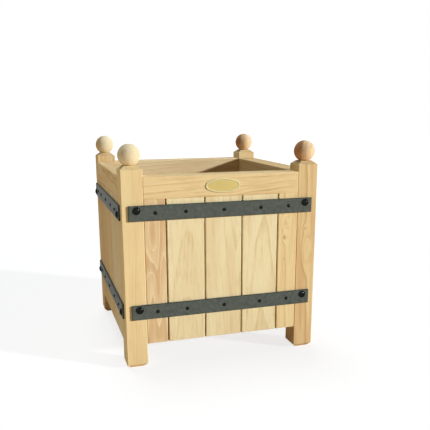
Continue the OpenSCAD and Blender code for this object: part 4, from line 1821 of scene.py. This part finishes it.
@dataclass
class Studio:
    """The camera, the lamps, the white surroundings and the pale floor.

    Attributes:
        eye: Where the camera stands.
        heading: How far it looks round from +Y towards +X, in degrees.
        pitch: How far it looks down, in degrees.
        roll: How far it is turned about its own line of sight, in degrees.
        lens: Focal length in millimetres.
        shift: Upward shift of the lens that the photograph's framing has, as a share of its width.
        sight: How far the camera sees, in metres.
        fill: Level of the light from all round.
        lamps: The key light from the right, the soft light from above and a weak one from the left.
        floor_half: Half the floor's width.
        floor_gap: How far it lies below the feet.
        clearing: Distances from the middle between which the floor turns to plain white.
        floor_white: Share of plain white in what the camera sees of the floor.
        floor_glow: Strength of that white, at which the lit floor is as white as the surroundings.
        bounce: The floor's colour for the light that it throws back.
        paper: Its colour as the camera sees it.
        sky: Colour of the light from all round.
    """

    eye: tuple[float, float, float] = (-0.47807, -1.7217, 0.67223)
    heading: float = 17.3513
    pitch: float = -14.0141
    roll: float = -0.1548
    lens: float = 49.05
    shift: float = 0.0962
    sight: float = 100.0
    fill: float = 0.07
    lamps: tuple[Lamp, ...] = (
        Lamp("key", 1.05, 54.5, 13.9, 3.0),
        Lamp("overhead", 0.47, 188.0, 70.0, 30.0),
        Lamp("left", 0.04, -97.0, 18.0, 40.0),
    )
    floor_half: float = 12.0
    floor_gap: float = 0.2 * MM
    clearing: tuple[float, float] = (1.2, 3.5)
    floor_white: float = 0.7
    floor_glow: float = 1.12
    bounce: Colour = (0.99, 0.77, 0.545, 1.0)
    paper: Colour = (0.94, 0.94, 0.94, 1.0)
    sky: Colour = (0.96, 1.0, 1.06, 1.0)

    def add_camera(self) -> None:
        """Sets the camera up at the photograph's angle."""
        ahead = direction(self.heading, self.pitch, 1.0)
        right = ahead.cross(UP).normalized()
        top = right.cross(ahead)
        c, s = math.cos(math.radians(self.roll)), math.sin(math.radians(self.roll))
        axes = Matrix((right * c + top * s, top * c - right * s, -ahead)).transposed()
        data = bpy.data.cameras.new("camera")
        data.lens, data.sensor_width, data.clip_end = self.lens, SENSOR_WIDTH, self.sight
        data.shift_y = self.shift
        camera = in_scene("camera", data)
        camera.matrix_world = Matrix.LocRotScale(Vector(self.eye), axes.to_quaternion(), None)
        bpy.context.scene.camera = camera

    def seen_directly(self, w: Wiring) -> bpy.types.NodeSocket:
        """Tells the rays that show a surface from those that light one.

        Args:
            w: The wiring of the material or the world.

        Returns:
            1 for rays from the camera, a gloss or a glass, and 0 for all others.
        """
        path = w.node("LightPath").outputs
        direct = w.math("MAXIMUM", path["Is Camera Ray"], path["Is Glossy Ray"])
        return w.math("MAXIMUM", direct, path["Is Transmission Ray"])

    def add_world(self) -> None:
        """Lights the scene evenly from all round, and shows white."""
        world = bpy.data.worlds.new("surroundings")
        w = cleared(world)
        direct = self.seen_directly(w)
        strength = w.total(self.fill, (direct, 1.0 - self.fill))
        background = w.node("Background", {"Color": w.mix(direct, self.sky, WHITE), "Strength": strength})
        w.node("OutputWorld", {"Surface": background.outputs[0]})
        bpy.context.scene.world = world

    def add_floor(self) -> None:
        """Lays the pale floor, which shows mostly white to the camera and keeps a soft shadow."""
        material = bpy.data.materials.new("studio_floor")
        w = cleared(material)
        direct = self.seen_directly(w)
        place = w.node("TexCoord").outputs["Object"]
        share = w.times(direct, w.step(w.length(place), *self.clearing, (self.floor_white, 1.0)))
        paper = w.node("BsdfDiffuse", {"Color": w.mix(direct, self.bounce, self.paper)})
        white = w.node("Emission", {"Color": WHITE, "Strength": self.floor_glow})
        both = w.node("MixShader", {0: share, 1: paper.outputs[0], 2: white.outputs[0]})
        w.node("OutputMaterial", {"Surface": both.outputs[0]})
        half, z = self.floor_half, -self.floor_gap
        mesh = bpy.data.meshes.new("studio_floor")
        corners = [(-half, -half, z), (half, -half, z), (half, half, z), (-half, half, z)]
        mesh.from_pydata(corners, [], [(0, 1, 2, 3)])
        mesh.materials.append(material)
        in_scene("studio_floor", mesh)

    def build(self) -> None:
        """Sets up the studio."""
        bpy.context.scene.view_settings.view_transform = "Standard"
        self.add_camera()
        for lamp in self.lamps:
            lamp.build()
        self.add_world()
        self.add_floor()
        LOG.info("studio: camera, %d lamps, white surroundings and floor", len(self.lamps))


def main() -> None:
    """Builds the planter's looks in order."""
    logging.basicConfig(level=logging.INFO, format="%(name)s: %(message)s")
    Studio().build()
    for build_group in (build_timber_group, build_knot_group, build_edge_group, build_mottle_group):
        build_group()
    plan = Plan.from_frame()
    parts = (
        CornerPosts(), BallFinials(), Rails(plan), BoardPanels(), IronStraps(), Fixings(plan), NamePlate(),
        SlattedFloor(),
    )
    for part in parts:
        LOG.info("building %s", type(part).__name__)
        part.build()


if __name__ == "__main__":
    main()
